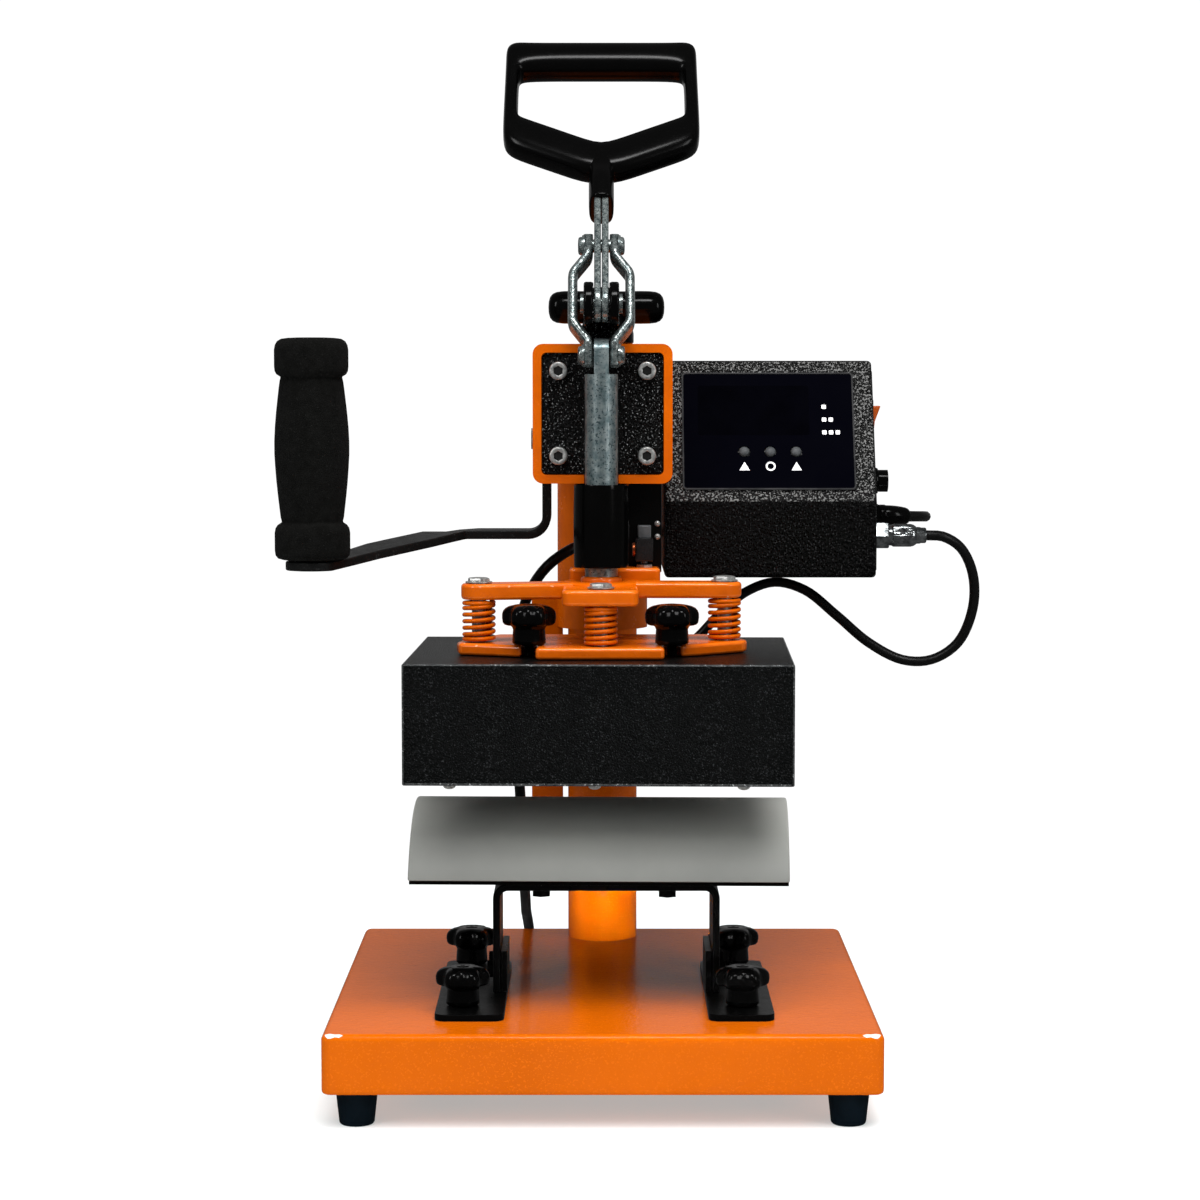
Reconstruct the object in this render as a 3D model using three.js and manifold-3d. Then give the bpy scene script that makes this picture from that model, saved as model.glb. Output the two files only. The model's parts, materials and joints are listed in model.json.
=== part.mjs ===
// Bench-top shin guard heat press: swing-away head, toggle lever, curved heater and curved lower platen.
// Millimetres, +Z up, X to the right, Y away from the operator. Y = 0 is the base's front edge.
import * as THREE from 'three';
import { mergeVertices } from 'three/addons/utils/BufferGeometryUtils.js';
import Module from 'manifold-3d';

const wasm = await Module();
wasm.setup();

// ---------------------------------------------------------------- driving dimensions
const FLOOR = 3;                        // level of the floor in the working heights below
const GAP = 0.3;                        // gap between touching neighbours
const BASE_W = 302, BASE_D = 310, BASE_Z0 = 22, BASE_Z1 = 55, SHEET = 2;
const FOOT_X = 133, FOOT_Y0 = 17, FOOT_Y1 = 293, FOOT_R_TOP = 11.5, FOOT_R_BOT = 9.6;
const POST_X = 0, POST_Y = 284, POST_R = 21.5, SLEEVE_R = 28, SLEEVE_BORE = 22;
const AX_X = -0.7, AX_Y = 117;          // plunger axis
const PIVOT_Z = 446.6, LEAN = 38.6 * Math.PI / 180, CRANK = 42.7;
const B_Z = 417.7, LINK_LEAN = Math.atan2(26.64, 62.27), LINK_L = 67.73;
const PLATEN_R = 67.5, PLATEN_Z = 98.5, PLATEN_EDGE = 128, PLATEN_X0 = -106.2, PLATEN_X1 = 104.8;
const COVER_X0 = -107.7, COVER_X1 = 106.3, COVER_Y0 = 40, COVER_Y1 = 210, COVER_Z0 = 183.3, COVER_Z1 = 250;
const ARCH_R = 71, ARCH_Z = 145;        // concave heating face
const TURN_HEATER = -1.4 * Math.PI / 180, TURN_PLATEN = -1.6 * Math.PI / 180;
const BOX_X0 = 36, BOX_X1 = 159, BOX_Y0 = 158, BOX_Y1 = 265, BOX_Z0 = 289, BOX_ZB = 333.5, BOX_YT = 198, BOX_Z1 = 413;
const SLOPE = Math.atan2(BOX_YT - BOX_Y0, BOX_Z1 - BOX_ZB);
const CORD_R = 3.25, CABLE_R = 3;
const COIL_X = 0, COIL_Y = 395, COIL_RI = 26, COIL_RO = 46, COIL_H = 13.2;

// ---------------------------------------------------------------- materials
const ORANGE = [0xd96a08, 0.42, 0.0], BLACK_COAT = [0x17181a, 0.62, 0.0], GLOSS = [0x0b0b0c, 0.2, 0.0];
const ZINC = [0xa9b0b4, 0.38, 0.9], STEEL = [0xb9bcbe, 0.3, 0.95], RUBBER = [0x14191d, 0.85, 0.0];
const FOAM = [0x141414, 0.95, 0.0], GREY_PAD = [0x7d7e7b, 0.55, 0.1], PVC = [0x101010, 0.5, 0.0];
const ALU = [0xb5b6b6, 0.45, 0.8], FILM = [0x050506, 0.15, 0.0], GREY = [0x3a3b3c, 0.5, 0.0], BOARD = [0x1f4a2b, 0.6, 0.0];

const root = new THREE.Group();
root.position.set(-4.35, -155.93, -FLOOR);   // footprint centre on the floor

// ---------------------------------------------------------------- geometry helpers
function solid(geometry) {
  const g = geometry.clone();
  g.deleteAttribute('normal');
  g.deleteAttribute('uv');
  const m = mergeVertices(g, 1e-4);
  const index = m.index ? m.index.array : Uint32Array.from({ length: m.attributes.position.count }, (_, i) => i);
  const tri = [];
  for (let i = 0; i < index.length; i += 3) {
    if (index[i] !== index[i + 1] && index[i + 1] !== index[i + 2] && index[i] !== index[i + 2]) tri.push(index[i], index[i + 1], index[i + 2]);
  }
  return new wasm.Manifold(new wasm.Mesh({
    numProp: 3, vertProperties: new Float32Array(m.attributes.position.array), triVerts: Uint32Array.from(tri),
  }));
}

function toGeometry(m) {
  const mesh = m.getMesh();
  const g = new THREE.BufferGeometry();
  const p = new Float32Array((mesh.vertProperties.length / mesh.numProp) * 3);
  for (let i = 0; i < p.length / 3; i++) {
    for (let k = 0; k < 3; k++) p[3 * i + k] = mesh.vertProperties[i * mesh.numProp + k];
  }
  g.setAttribute('position', new THREE.BufferAttribute(p, 3));
  g.setIndex(new THREE.BufferAttribute(Uint32Array.from(mesh.triVerts), 1));
  g.computeVertexNormals();
  return g;
}

const BASIS = {
  x: new THREE.Matrix4().makeBasis(new THREE.Vector3(0, 1, 0), new THREE.Vector3(0, 0, 1), new THREE.Vector3(1, 0, 0)),
  y: new THREE.Matrix4().makeBasis(new THREE.Vector3(1, 0, 0), new THREE.Vector3(0, 0, 1), new THREE.Vector3(0, -1, 0)),
  z: new THREE.Matrix4(),
};

function boxG(x0, x1, y0, y1, z0, z1) {
  return new THREE.BoxGeometry(x1 - x0, y1 - y0, z1 - z0).translate((x0 + x1) / 2, (y0 + y1) / 2, (z0 + z1) / 2);
}
const box = (...a) => solid(boxG(...a));

// A straight prism of a 2D shape: axis z takes (x, y), axis y takes (x, z), axis x takes (y, z).
function prismG(shape, axis, a0, a1, seg = 8) {
  const g = new THREE.ExtrudeGeometry(shape, { depth: a1 - a0, bevelEnabled: false, curveSegments: seg });
  if (axis === 'z') return g.translate(0, 0, a0);
  if (axis === 'x') return g.applyMatrix4(BASIS.x).translate(a0, 0, 0);
  return g.applyMatrix4(BASIS.y).translate(0, a1, 0);
}
const prism = (...a) => solid(prismG(...a));

function poly(points) {
  const s = new THREE.Shape();
  points.forEach(([x, y], i) => (i ? s.lineTo(x, y) : s.moveTo(x, y)));
  s.closePath();
  return s;
}

function rounded(x0, x1, y0, y1, r) {
  const s = new THREE.Shape();
  s.moveTo(x0 + r, y0);
  s.lineTo(x1 - r, y0);
  s.absarc(x1 - r, y0 + r, r, -Math.PI / 2, 0, false);
  s.lineTo(x1, y1 - r);
  s.absarc(x1 - r, y1 - r, r, 0, Math.PI / 2, false);
  s.lineTo(x0 + r, y1);
  s.absarc(x0 + r, y1 - r, r, Math.PI / 2, Math.PI, false);
  s.lineTo(x0, y0 + r);
  s.absarc(x0 + r, y0 + r, r, Math.PI, Math.PI * 1.5, false);
  return s;
}

function disc(cx, cy, r, n = 24) {
  const pts = [];
  for (let i = 0; i < n; i++) pts.push([cx + r * Math.cos((i + 0.5) * 2 * Math.PI / n), cy + r * Math.sin((i + 0.5) * 2 * Math.PI / n)]);
  return poly(pts);
}

function capsule(ax, ay, bx, by, r, n = 8) {
  const t = Math.atan2(by - ay, bx - ax);
  const pts = [];
  for (let i = 0; i <= n; i++) pts.push([bx + r * Math.cos(t - Math.PI / 2 + Math.PI * i / n), by + r * Math.sin(t - Math.PI / 2 + Math.PI * i / n)]);
  for (let i = 0; i <= n; i++) pts.push([ax + r * Math.cos(t + Math.PI / 2 + Math.PI * i / n), ay + r * Math.sin(t + Math.PI / 2 + Math.PI * i / n)]);
  return poly(pts);
}

// cylinders: (u, v) centre in the plane across the axis
const cylZ = (x, y, r, z0, z1, n = 24) => prism(disc(x, y, r, n), 'z', z0, z1);
const cylX = (y, z, r, x0, x1, n = 24) => prism(disc(y, z, r, n), 'x', x0, x1);
const cylY = (x, z, r, y0, y1, n = 24) => prism(disc(x, z, r, n), 'y', y0, y1);

function latheG(profile, x, y, n = 24) {
  return new THREE.LatheGeometry(profile.map(([r, z]) => new THREE.Vector2(r, z)), n).rotateX(Math.PI / 2).translate(x, y, 0);
}

// A closed tube of round section along a smooth path.
function tubeG(points, r, steps, sides = 8) {
  const curve = new THREE.CatmullRomCurve3(points.map((p) => new THREE.Vector3(...p)), false, 'centripetal');
  const s = new THREE.Shape();
  for (let i = 0; i < sides; i++) {
    const a = (i + 0.5) * 2 * Math.PI / sides;
    if (i) s.lineTo(r * Math.cos(a), r * Math.sin(a)); else s.moveTo(r * Math.cos(a), r * Math.sin(a));
  }
  s.closePath();
  return new THREE.ExtrudeGeometry(s, { steps, extrudePath: curve, bevelEnabled: false });
}

const union = (...m) => m.reduce((a, b) => a.add(b));
const cut = (a, ...m) => m.reduce((p, q) => p.subtract(q), a);

function add(parent, name, m, [color, roughness, metalness]) {
  const geometry = m.isBufferGeometry ? m : toGeometry(m);
  const mesh = new THREE.Mesh(geometry, new THREE.MeshStandardMaterial({ color, roughness, metalness }));
  mesh.name = name;
  parent.add(mesh);
  return mesh;
}

// ================================================================ base
{
  const bx = BASE_W / 2;
  let tray = prism(rounded(-bx, bx, 0, BASE_D, 5), 'z', BASE_Z0, BASE_Z1, 4);
  tray = cut(tray,
    prism(rounded(-bx + SHEET, bx - SHEET, SHEET, BASE_D - SHEET, 3), 'z', BASE_Z0 + SHEET, BASE_Z1 - SHEET, 4),
    prism(rounded(-bx + 38, bx - 38, 38, BASE_D - 38, 3), 'z', BASE_Z0 - 1, BASE_Z0 + SHEET + 1, 4));
  for (const [x, y] of [[-77.4, 58.6], [77.4, 58.6], [-77.4, 176], [77.4, 176]]) tray = cut(tray, cylZ(x, y, 3.6, 50, 60, 12));
  add(root, 'base_tray', tray, ORANGE);
}

for (const [name, x, y] of [['foot_front_left', -FOOT_X, FOOT_Y0], ['foot_front_right', FOOT_X, FOOT_Y0],
  ['foot_rear_left', -FOOT_X, FOOT_Y1], ['foot_rear_right', FOOT_X, FOOT_Y1]]) {
  add(root, name, latheG([[0, FLOOR], [FOOT_R_BOT - 0.8, FLOOR], [FOOT_R_BOT, FLOOR + 1.2], [FOOT_R_TOP, BASE_Z0 - GAP], [0, BASE_Z0 - GAP]], x, y, 20), RUBBER);
}

// fixed post, open tube, with the two welded stop lugs of the swing
{
  let post = cylZ(POST_X, POST_Y, POST_R, BASE_Z1 + GAP, 416, 32);
  post = union(post,
    prism(poly([[-42, 287.4], [-15, 287.4], [-15, 296], [-42, 296]]), 'z', 106, 120),
    prism(poly([[6.9, 264.6], [10.3, 245.2], [17.7, 246.5], [13.7, 268.3]]), 'z', 106, 120));
  post = cut(post, cylZ(POST_X, POST_Y, POST_R - 4, BASE_Z1 - 1, 420, 32));
  add(root, 'column_post', post, ORANGE);
}

// foot rails of the lower platen: flat foot, upright inner flange, two bolts through the bracket's leg
for (const [name, s, x0, x1] of [['foot_rail_left', -1, -92, -54], ['foot_rail_right', 1, 58, 94]]) {
  const xin = s < 0 ? -57.4 : 61.6, xo = xin - s * 3.4;
  let rail = prism(rounded(x0, x1, 33, 185, 6), 'z', BASE_Z1 + GAP, BASE_Z1 + 3.8, 4);
  rail = union(rail, box(Math.min(xin, xo), Math.max(xin, xo), 94, 141, BASE_Z1 + 2, 82));
  for (const y of [104, 131]) {
    const leg = s < 0 ? -62.1 : 66.3;
    rail = union(rail, cylX(y, 70, 2.9, Math.min(xo, leg + s * 1), Math.max(xo, leg + s * 1), 12),
      cylX(y, 70, 5, Math.min(leg, leg + s * 3.4), Math.max(leg, leg + s * 3.4), 6));
  }
  for (const y of [58.6, 176]) rail = cut(rail, cylZ(s * 77.4, y, 3.6, 50, 62, 12));
  add(root, name, rail, BLACK_COAT);
}

// U bracket: bar on top, two legs
{
  let u = union(box(-61.8, 66, 90, 145, 117, 121), box(-61.8, -57.8, 90, 145, 59.2, 121), box(62, 66, 90, 145, 59.2, 121));
  for (const y of [104, 131]) u = cut(u, cylX(y, 70, 3.4, -64, -55, 12), cylX(y, 70, 3.4, 60, 68, 12));
  u = cut(u, cylZ(-35, AX_Y + 1, 3.9, 115, 123, 14), cylZ(37, AX_Y - 1.05, 3.9, 115, 123, 14));
  add(root, 'platen_bracket', u, BLACK_COAT);
}

// star knobs, each with its own threaded stud
function starKnob(r, hubR, z0, zh, z1, studR, zs) {
  const pts = [];
  for (let i = 0; i < 24; i++) {
    const a = i * 2 * Math.PI / 24;
    const rr = r - 1.9 + 1.9 * Math.cos(6 * a);
    pts.push([rr * Math.cos(a), rr * Math.sin(a)]);
  }
  return union(prism(poly(pts), 'z', zh, z1), cylZ(0, 0, hubR, z0, zh + 1, 20), cylZ(0, 0, studR, zs, z0 + 1, 12));
}
for (const [name, x, y] of [['rail_knob_front_left', -77.4, 58.6], ['rail_knob_front_right', 77.4, 58.6],
  ['rail_knob_rear_left', -77.4, 176], ['rail_knob_rear_right', 77.4, 176]]) {
  const mesh = add(root, name, starKnob(15, 9.3, 59.1, 70, 81, 3, 40), GLOSS);
  mesh.position.set(x, y, 0);
}

// lower platen: curved shell with two ribs and studs, and the grey pad on it
const platen = new THREE.Group();
platen.position.set(AX_X, AX_Y, 0);
platen.rotation.z = TURN_PLATEN;
root.add(platen);
function arcShape(cy, cz, r1, r0, zEdge, n = 28) {
  const h1 = Math.acos((zEdge - cz) / r1), h0 = Math.acos((zEdge - cz) / r0), pts = [];
  for (let i = 0; i <= n; i++) { const a = -h1 + 2 * h1 * i / n; pts.push([cy + r1 * Math.sin(a), cz + r1 * Math.cos(a)]); }
  for (let i = n; i >= 0; i--) { const a = -h0 + 2 * h0 * i / n; pts.push([cy + r0 * Math.sin(a), cz + r0 * Math.cos(a)]); }
  return poly(pts.reverse());
}
{
  const x0 = PLATEN_X0 - AX_X, x1 = PLATEN_X1 - AX_X;
  add(platen, 'platen_pad', prismG(arcShape(0, PLATEN_Z, PLATEN_R, 63, PLATEN_EDGE), 'x', x0, x1), GREY_PAD);
  let shell = prism(arcShape(0, PLATEN_Z, 62.7, 59.7, PLATEN_EDGE - 2.6), 'x', x0 + 0.4, x1 - 0.4);
  for (const x of [-34.3, 37.7]) {
    const rib = prism(poly([[-40, 122], [40, 122], [46, 134], [36, 146], [18, 155], [0, 159.4], [-18, 155], [-36, 146], [-46, 134]]), 'x', x - 2, x + 2);
    shell = union(shell, rib, cylZ(x, 0, 3, 109.6, 123, 12), cylZ(x, 0, 5.6, 109.6, 116.6, 6));
  }
  add(platen, 'platen_shell', shell, BLACK_COAT);
}

// ================================================================ swing head
{
  const frame = cut(prism(rounded(-40, 40, 344.5, 424.3, 6), 'y', 137, 162, 5), prism(rounded(-35, 35, 349.5, 419.3, 3), 'y', 130, 157.5, 4));
  let arm = union(frame, box(-30, 30, 161, 284, 348, 422), cylZ(POST_X, POST_Y, SLEEVE_R, 250, 424, 32), box(-44, -24.6, 281, 287, 122, 272));
  // the tab narrows below the sleeve and hangs beside the post, down to the height of the stop lugs
  arm = union(arm, box(-40, -24.6, 281, 287, 104, 124));
  arm = cut(arm, box(-26, 26, 150, 252, 352, 418), cylZ(POST_X, POST_Y, SLEEVE_BORE, 240, 419, 32), box(-24.4, 24.4, 278, 290, 100, 249.9));
  arm = cut(arm, cylZ(2.4, 238, 5.5, 415, 430, 16), cylX(190, 369, 3.3, -45, -20, 12));
  add(root, 'swing_arm', arm, ORANGE);
}

// black clamp bracket: plate in the frame, rib, guide sleeve and the two pivot ears
{
  const plate = prism(rounded(-34.6, 34.6, 349.9, 418.9, 3), 'y', 139, 145, 4);
  let br = union(plate, box(-10.5, 9.1, 129.5, 136.6, 300, 440), box(-10.5, 9.1, 136, 140, 352, 417));
  br = union(br, cylZ(AX_X, AX_Y, 15, 299, 344.2, 28), box(-10.5, 9.1, 125, 133, 299, 344));
  for (const [x0, x1] of [[-10.4, -5.2], [3.8, 9.0]]) {
    br = union(br, prism(disc(AX_Y, PIVOT_Z, 12, 24), 'x', x0, x1), prism(poly([[AX_Y, 437], [134, 430], [134, 457], [AX_Y, 458]]), 'x', x0, x1));
  }
  br = cut(br, box(-5.2, 3.8, 100, 134.6, 428, 470), cylX(AX_Y, PIVOT_Z, 4.3, -15, 15, 20), cylZ(AX_X, AX_Y, 9.75, 290, 350, 28));
  // the ears' outer faces step back below the hub, where the bowed links pass
  br = cut(br, box(-11, -8.8, 100, 126, 428, 439.5), box(7.4, 10, 100, 126, 428, 439.5));
  for (const x of [-25.3, 25.3]) for (const z of [360.4, 408.9]) br = cut(br, cylY(x, z, 3.3, 135, 150, 12));
  add(root, 'clamp_bracket', br, BLACK_COAT);
}
let n = 1;
for (const z of [408.9, 360.4]) {
  for (const x of [-25.3, 25.3]) {
    const screw = cut(union(cylY(x, z, 5.2, 133.2, 138.7, 20), cylY(x, z, 3, 138, 155, 12)), cylY(x, z, 2.7, 133, 136, 6));
    add(root, `bracket_screw_${n++}`, screw, STEEL);
  }
}
add(root, 'pivot_pin', union(cylX(AX_Y, PIVOT_Z, 4, -12.6, 11.2, 20), cylX(AX_Y, PIVOT_Z, 5.6, -12.6, -10.8, 20), cylX(AX_Y, PIVOT_Z, 5.6, 9.4, 11.2, 20)), ZINC);

// T knob that locks the swing
{
  const bar = latheG([[0, -35], [6.5, -34], [9.3, -30], [10, -24], [10, 24], [9.3, 30], [6.5, 34], [0, 35]], 0, 0, 20).rotateY(Math.PI / 2).translate(0, 0, 447);
  const knob = union(solid(bar), cylZ(0, 0, 16.5, 424.9, 438, 24), cylZ(0, 0, 13, 437, 448, 24), cylZ(0, 0, 5, 402, 426, 16));
  add(root, 't_knob', knob, GLOSS).position.set(2.4, 238, 0);
}

// side swing handle: folded flat bar with the grip's core rod
{
  const drop = (g) => {
    const p = g.attributes.position;
    for (let i = 0; i < p.count; i++) { const x = p.getX(i); if (x < -80) p.setZ(i, p.getZ(i) - Math.min(-80 - x, 56) * 0.21); }
    return g;
  };
  const flat = new THREE.Shape();
  flat.moveTo(-35.3, 175);
  flat.lineTo(-35.3, 205);
  flat.lineTo(-85, 205);
  flat.lineTo(-100, 193);
  flat.lineTo(-173, 91);
  flat.absarc(-161, 82, 15, 2.5, 5.64, false);
  flat.lineTo(-80, 175);
  flat.closePath();
  let bar = union(cut(solid(drop(prismG(flat, 'z', 310.5, 315.5, 6))), cylZ(-161, 82, 21.4, 304.2, 330, 24)),
    box(-35.3, -30.3, 175, 205, 310.5, 384),
    cylZ(-161, 82, 7.5, 303, 419, 16),
    cylZ(-161, 82, 13, 298.9, 304, 20));
  bar = cut(bar, cylX(190, 369, 3.3, -45, -20, 12));
  add(root, 'side_handle_bar', bar, BLACK_COAT);
  add(root, 'side_handle_bolt', union(cylX(190, 369, 6.2, -42, -35.6, 6), cylX(190, 369, 3, -36, -22, 12)), STEEL);
  const grip = [[8, 304.6], [19.6, 304.6], [20.5, 306], [20.6, 314], [20.4, 323], [17.6, 325.4], [16.8, 329], [18.2, 340], [19.8, 352], [20.4, 363],
    [19.8, 375], [18.2, 387], [16.8, 399], [17.6, 403.6], [19.9, 406], [20.1, 415], [20, 425], [18.6, 427], [0, 427], [0, 419.6], [8, 419.6], [8, 304.6]];
  const foam = new THREE.LatheGeometry(grip.map(([r, z]) => new THREE.Vector2(r, z)), 18).rotateX(Math.PI / 2);
  add(root, 'foam_grip', solid(foam), FOAM).position.set(-161, 82, 0);
}

// ---------------------------------------------------------------- control box
const boxProfile = poly([[BOX_Y0, BOX_Z0], [BOX_Y1, BOX_Z0], [BOX_Y1, BOX_Z1], [BOX_YT, BOX_Z1], [BOX_Y0, BOX_ZB]]);
const boxInner = poly([[160, 291], [263, 291], [263, 411], [199.3, 411], [160, 333]]);
const panel = new THREE.Group();
panel.position.set(0, BOX_Y0, BOX_ZB);
panel.rotation.x = -SLOPE;
root.add(panel);
panel.updateMatrix();
const BUTTONS = [['button_left', 82.7], ['button_middle', 97.9], ['button_right', 113]];
const BTN_W = 31.3;
{
  let cb = union(prism(boxProfile, 'x', BOX_X0, BOX_X1), box(30.3, BOX_X0 + 1, 186, 240, 362, 408), box(BOX_X1 - 1, BOX_X1 + 1.2, 196.5, 213.5, 367, 392));
  cb = cut(cb, prism(boxInner, 'x', BOX_X0 + 2, BOX_X1 - 2), box(155, 162, 198.8, 211.2, 368.6, 390.4));
  cb = cut(cb, cylX(205, 343.6, 5.2, 155, 162, 16), cylX(225, 322, 4.2, 155, 162, 16), cylX(180, 312.5, 5.2, 155, 162, 16));
  for (const [, x] of BUTTONS) cb = cut(cb, solid(prismG(disc(x, BTN_W, 3.6, 16), 'y', -4, 6).applyMatrix4(panel.matrix)));
  add(root, 'control_box', cb, BLACK_COAT);
  let film = prism(rounded(47, 147, 7.3, 82.2, 2), 'y', -1.1, -0.3, 4);
  for (const [, x] of BUTTONS) film = cut(film, cylY(x, BTN_W, 3.6, -4, 6, 16));
  add(panel, 'control_panel', film, FILM);
  for (const [name, x] of BUTTONS) {
    add(panel, name, union(cylY(x, BTN_W, 3.1, -2, 5, 16), cylY(x, BTN_W, 4.6, 4, 5.5, 16)), GREY);
  }
  add(root, 'controller_board', box(44, 150, 232, 234, 298, 404), BOARD);
}
add(root, 'power_rocker', prism(poly([[153, 371.3], [160.6, 370.8], [161.4, 379], [164.8, 388.2], [153, 387.7]]), 'y', 199.4, 210.6), ORANGE);
add(root, 'fuse_holder', cut(union(cylX(205, 343.6, 8, 159.3, 163.6, 20), cylX(205, 343.6, 4.9, 140, 160, 16)), cylX(205, 343.6, 3.2, 142, 165, 16)), GLOSS);
add(root, 'fuse_cap', cut(union(cylX(205, 343.6, 6.6, 163.9, 169.6, 20), cylX(205, 343.6, 2.8, 145, 164.5, 14)), box(168.6, 171, 204.3, 205.7, 337, 350)), GLOSS);
add(root, 'cord_gland', cut(union(cylX(225, 322, 5.5, 159.3, 170, 20), cylX(225, 322, 3.9, 150, 160, 16)), cylX(225, 322, 3.4, 166, 172, 16)), PVC);
add(root, 'heater_connector', union(cylX(180, 312.5, 4.9, 150, 160, 16), cylX(180, 312.5, 8.5, 159.3, 168, 6), cylX(180, 312.5, 6.5, 167, 184, 24), cylX(180, 312.5, 4.6, 183, 190, 16)), STEEL);

// limit switch on its folded plate, and its sprung pin
{
  add(root, 'switch_plate', cut(union(box(13, 34, 148, 151, 293, 344.2), box(13, 34, 148, 170, 341.2, 344.2)), cylZ(24, 162, 2.6, 338, 346, 12)), BLACK_COAT);
  add(root, 'limit_switch', cut(union(box(19, 29, 134.5, 147.7, 300, 313), box(20.5, 27.5, 137, 146, 312, 320)), cylZ(24, 141, 2.4, 299, 309, 14)), GREY);
  add(root, 'limit_switch_pin', cylZ(24, 141, 2.1, 298.4, 306, 14), GREY);
}

// ---------------------------------------------------------------- cords and cables
const mainsUpper = [[170.3, 225, 322], [175, 225.2, 321.9], [187, 230, 321.3], [195.5, 241, 320.7], [197, 254, 320], [191, 267.5, 319.3], [178, 277, 318.6], [158, 281, 317.5], [130, 281.8, 316], [90, 281.5, 313.5], [55, 278.5, 311.5],
  [30.8, 267.6, 309.5], [12, 243, 308.5], [-2, 222, 307.5], [-18, 209, 303], [-33, 207, 292.5], [-44.5, 214, 275], [-51, 226, 250], [-53, 234, 218], [-52, 238, 180],
  [-50, 241, 145], [-49, 248, 115], [-48.4, 258, 96], [-48.1, 269, 84], [-48, 279, 76.6], [-48, 284, 73.2]];
const mainsLower = [[-48, 284.5, 72.86], [-48, 289, 69.9], [-47.7, 303, 63.5], [-46.8, 320, 52], [-45.6, 334, 35], [-44.4, 344, 22], [-43.4, 356, 11], [-42.75, 371, 6.8]];
add(root, 'mains_cord_upper', tubeG(mainsUpper, CORD_R, 40, 8), PVC);
add(root, 'mains_cord_lower', tubeG(mainsLower, CORD_R, 12, 8), PVC);
add(root, 'mains_cord_coil', latheG([[COIL_RI, FLOOR], [COIL_RO, FLOOR], [COIL_RO, FLOOR + COIL_H], [COIL_RI, FLOOR + COIL_H], [COIL_RI, FLOOR]], COIL_X, COIL_Y, 28), PVC);
{
  const py = COIL_Y + 42.75, pz = FLOOR + 11;
  const boot = latheG([[0, 26], [4.6, 26], [6.6, 57], [0, 57]], 0, 0, 14).rotateY(Math.PI / 2).translate(0, py, pz);
  add(root, 'mains_plug', union(solid(boot), prism(rounded(py - 12, py + 12, FLOOR, FLOOR + 21, 4), 'x', 56, 92, 4),
    box(91, 108, py - 7, py - 5.4, pz - 3.2, pz + 3.2), box(91, 108, py + 5.4, py + 7, pz - 3.2, pz + 3.2)), PVC);
}
const cable = [[190.3, 180, 312.5], [200, 180.5, 311.8], [211, 184, 305], [219, 190, 289], [220, 197, 268], [212, 203, 247], [197, 208, 236.5], [180, 212, 236],
  [160, 216, 246], [141, 221, 262], [122, 226, 277], [104, 229, 281.5], [86, 230, 275], [71, 231, 262], [58, 232, 248], [46, 231, 238], [39, 226, 233.5], [38.2, 221.6, 232.6]];
add(root, 'heater_cable', tubeG(cable, CABLE_R, 36, 8), PVC);

// ================================================================ toggle lever
const lever = new THREE.Group();
lever.position.set(AX_X, AX_Y, PIVOT_Z);
lever.rotation.x = -LEAN;
root.add(lever);
{
  const plates = cut(prism(capsule(0, 0, 0, 81.5, 10.5, 8), 'x', -4.1, 4.1), cylX(0, 0, 4.3, -6, 6, 20), cylX(0, CRANK, 4.1, -6, 6, 20));
  add(lever, 'lever_plates', plates, ZINC);
  const outer = new THREE.Shape();
  outer.moveTo(-52, 199);
  outer.lineTo(52, 199);
  outer.absarc(52.5, 193.5, 5.5, Math.PI / 2, 0, true);
  outer.lineTo(58, 130);
  outer.absarc(48, 126, 10, 0.2, -1.1, true);
  outer.lineTo(9, 96.5);
  outer.lineTo(7.3, 90);
  outer.lineTo(-7.3, 90);
  outer.lineTo(-9, 96.5);
  outer.lineTo(-52.5, 117);
  outer.absarc(-48, 126, 10, Math.PI + 1.1, Math.PI - 0.2, true);
  outer.lineTo(-58, 186);
  outer.absarc(-52.5, 193.5, 5.5, Math.PI, Math.PI / 2, true);
  const ring = prism(outer, 'y', -8.5, 8.5, 6);
  const window_ = prism(poly([[-49.3, 174.5], [49.3, 174.5], [49.3, 138.5], [0, 116.6], [-49.3, 138.5]].reverse()), 'y', -20, 20);
  const grip = solid(latheG([[0, -53], [10, -51], [10.6, 0], [10, 51], [0, 53]], 0, 0, 20).rotateY(Math.PI / 2).translate(0, 0, 187.5));
  let d = union(cut(ring, window_), grip, box(-7.3, 7.3, -13.5, 13.5, 60, 100));
  d = cut(d, box(-4.4, 4.4, -10.9, 10.9, 58, 92.4));
  add(lever, 'd_handle', d, GLOSS);
}

// toggle links, bowed round the pivot hub; the lower rivet stubs ride with them
const links = new THREE.Group();
links.position.set(AX_X, AX_Y, B_Z);
links.rotation.x = -LINK_LEAN;
root.add(links);
for (const [name, s] of [['link_left', -1], ['link_right', 1]]) {
  const pts = [[4.6, -7], [10.4, -7], [10.4, 6.5], [19.3, 18], [19.3, 50], [10.4, 61.2], [10.4, 75], [4.6, 75], [4.6, 60], [13.4, 48], [13.4, 20], [4.6, 8]].map(([x, w]) => [s * x, w]);
  if (s < 0) pts.reverse();
  let link = prism(poly(pts), 'y', -7, 7).intersect(prism(capsule(0, 0, 0, LINK_L, 7, 8), 'x', -25, 25));
  link = union(link, cylX(0, 0, 5.4, Math.min(s * 10, s * 13.2), Math.max(s * 10, s * 13.2), 20));
  link = cut(link, cylX(0, LINK_L, 4.1, -25, 25, 20));
  add(links, name, link, ZINC);
}
add(links, 'upper_link_pin', union(cylX(0, LINK_L, 3.8, -13.4, 13.4, 20), cylX(0, LINK_L, 5.4, -13.4, -10.7, 20), cylX(0, LINK_L, 5.4, 10.7, 13.4, 20)), ZINC);

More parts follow.
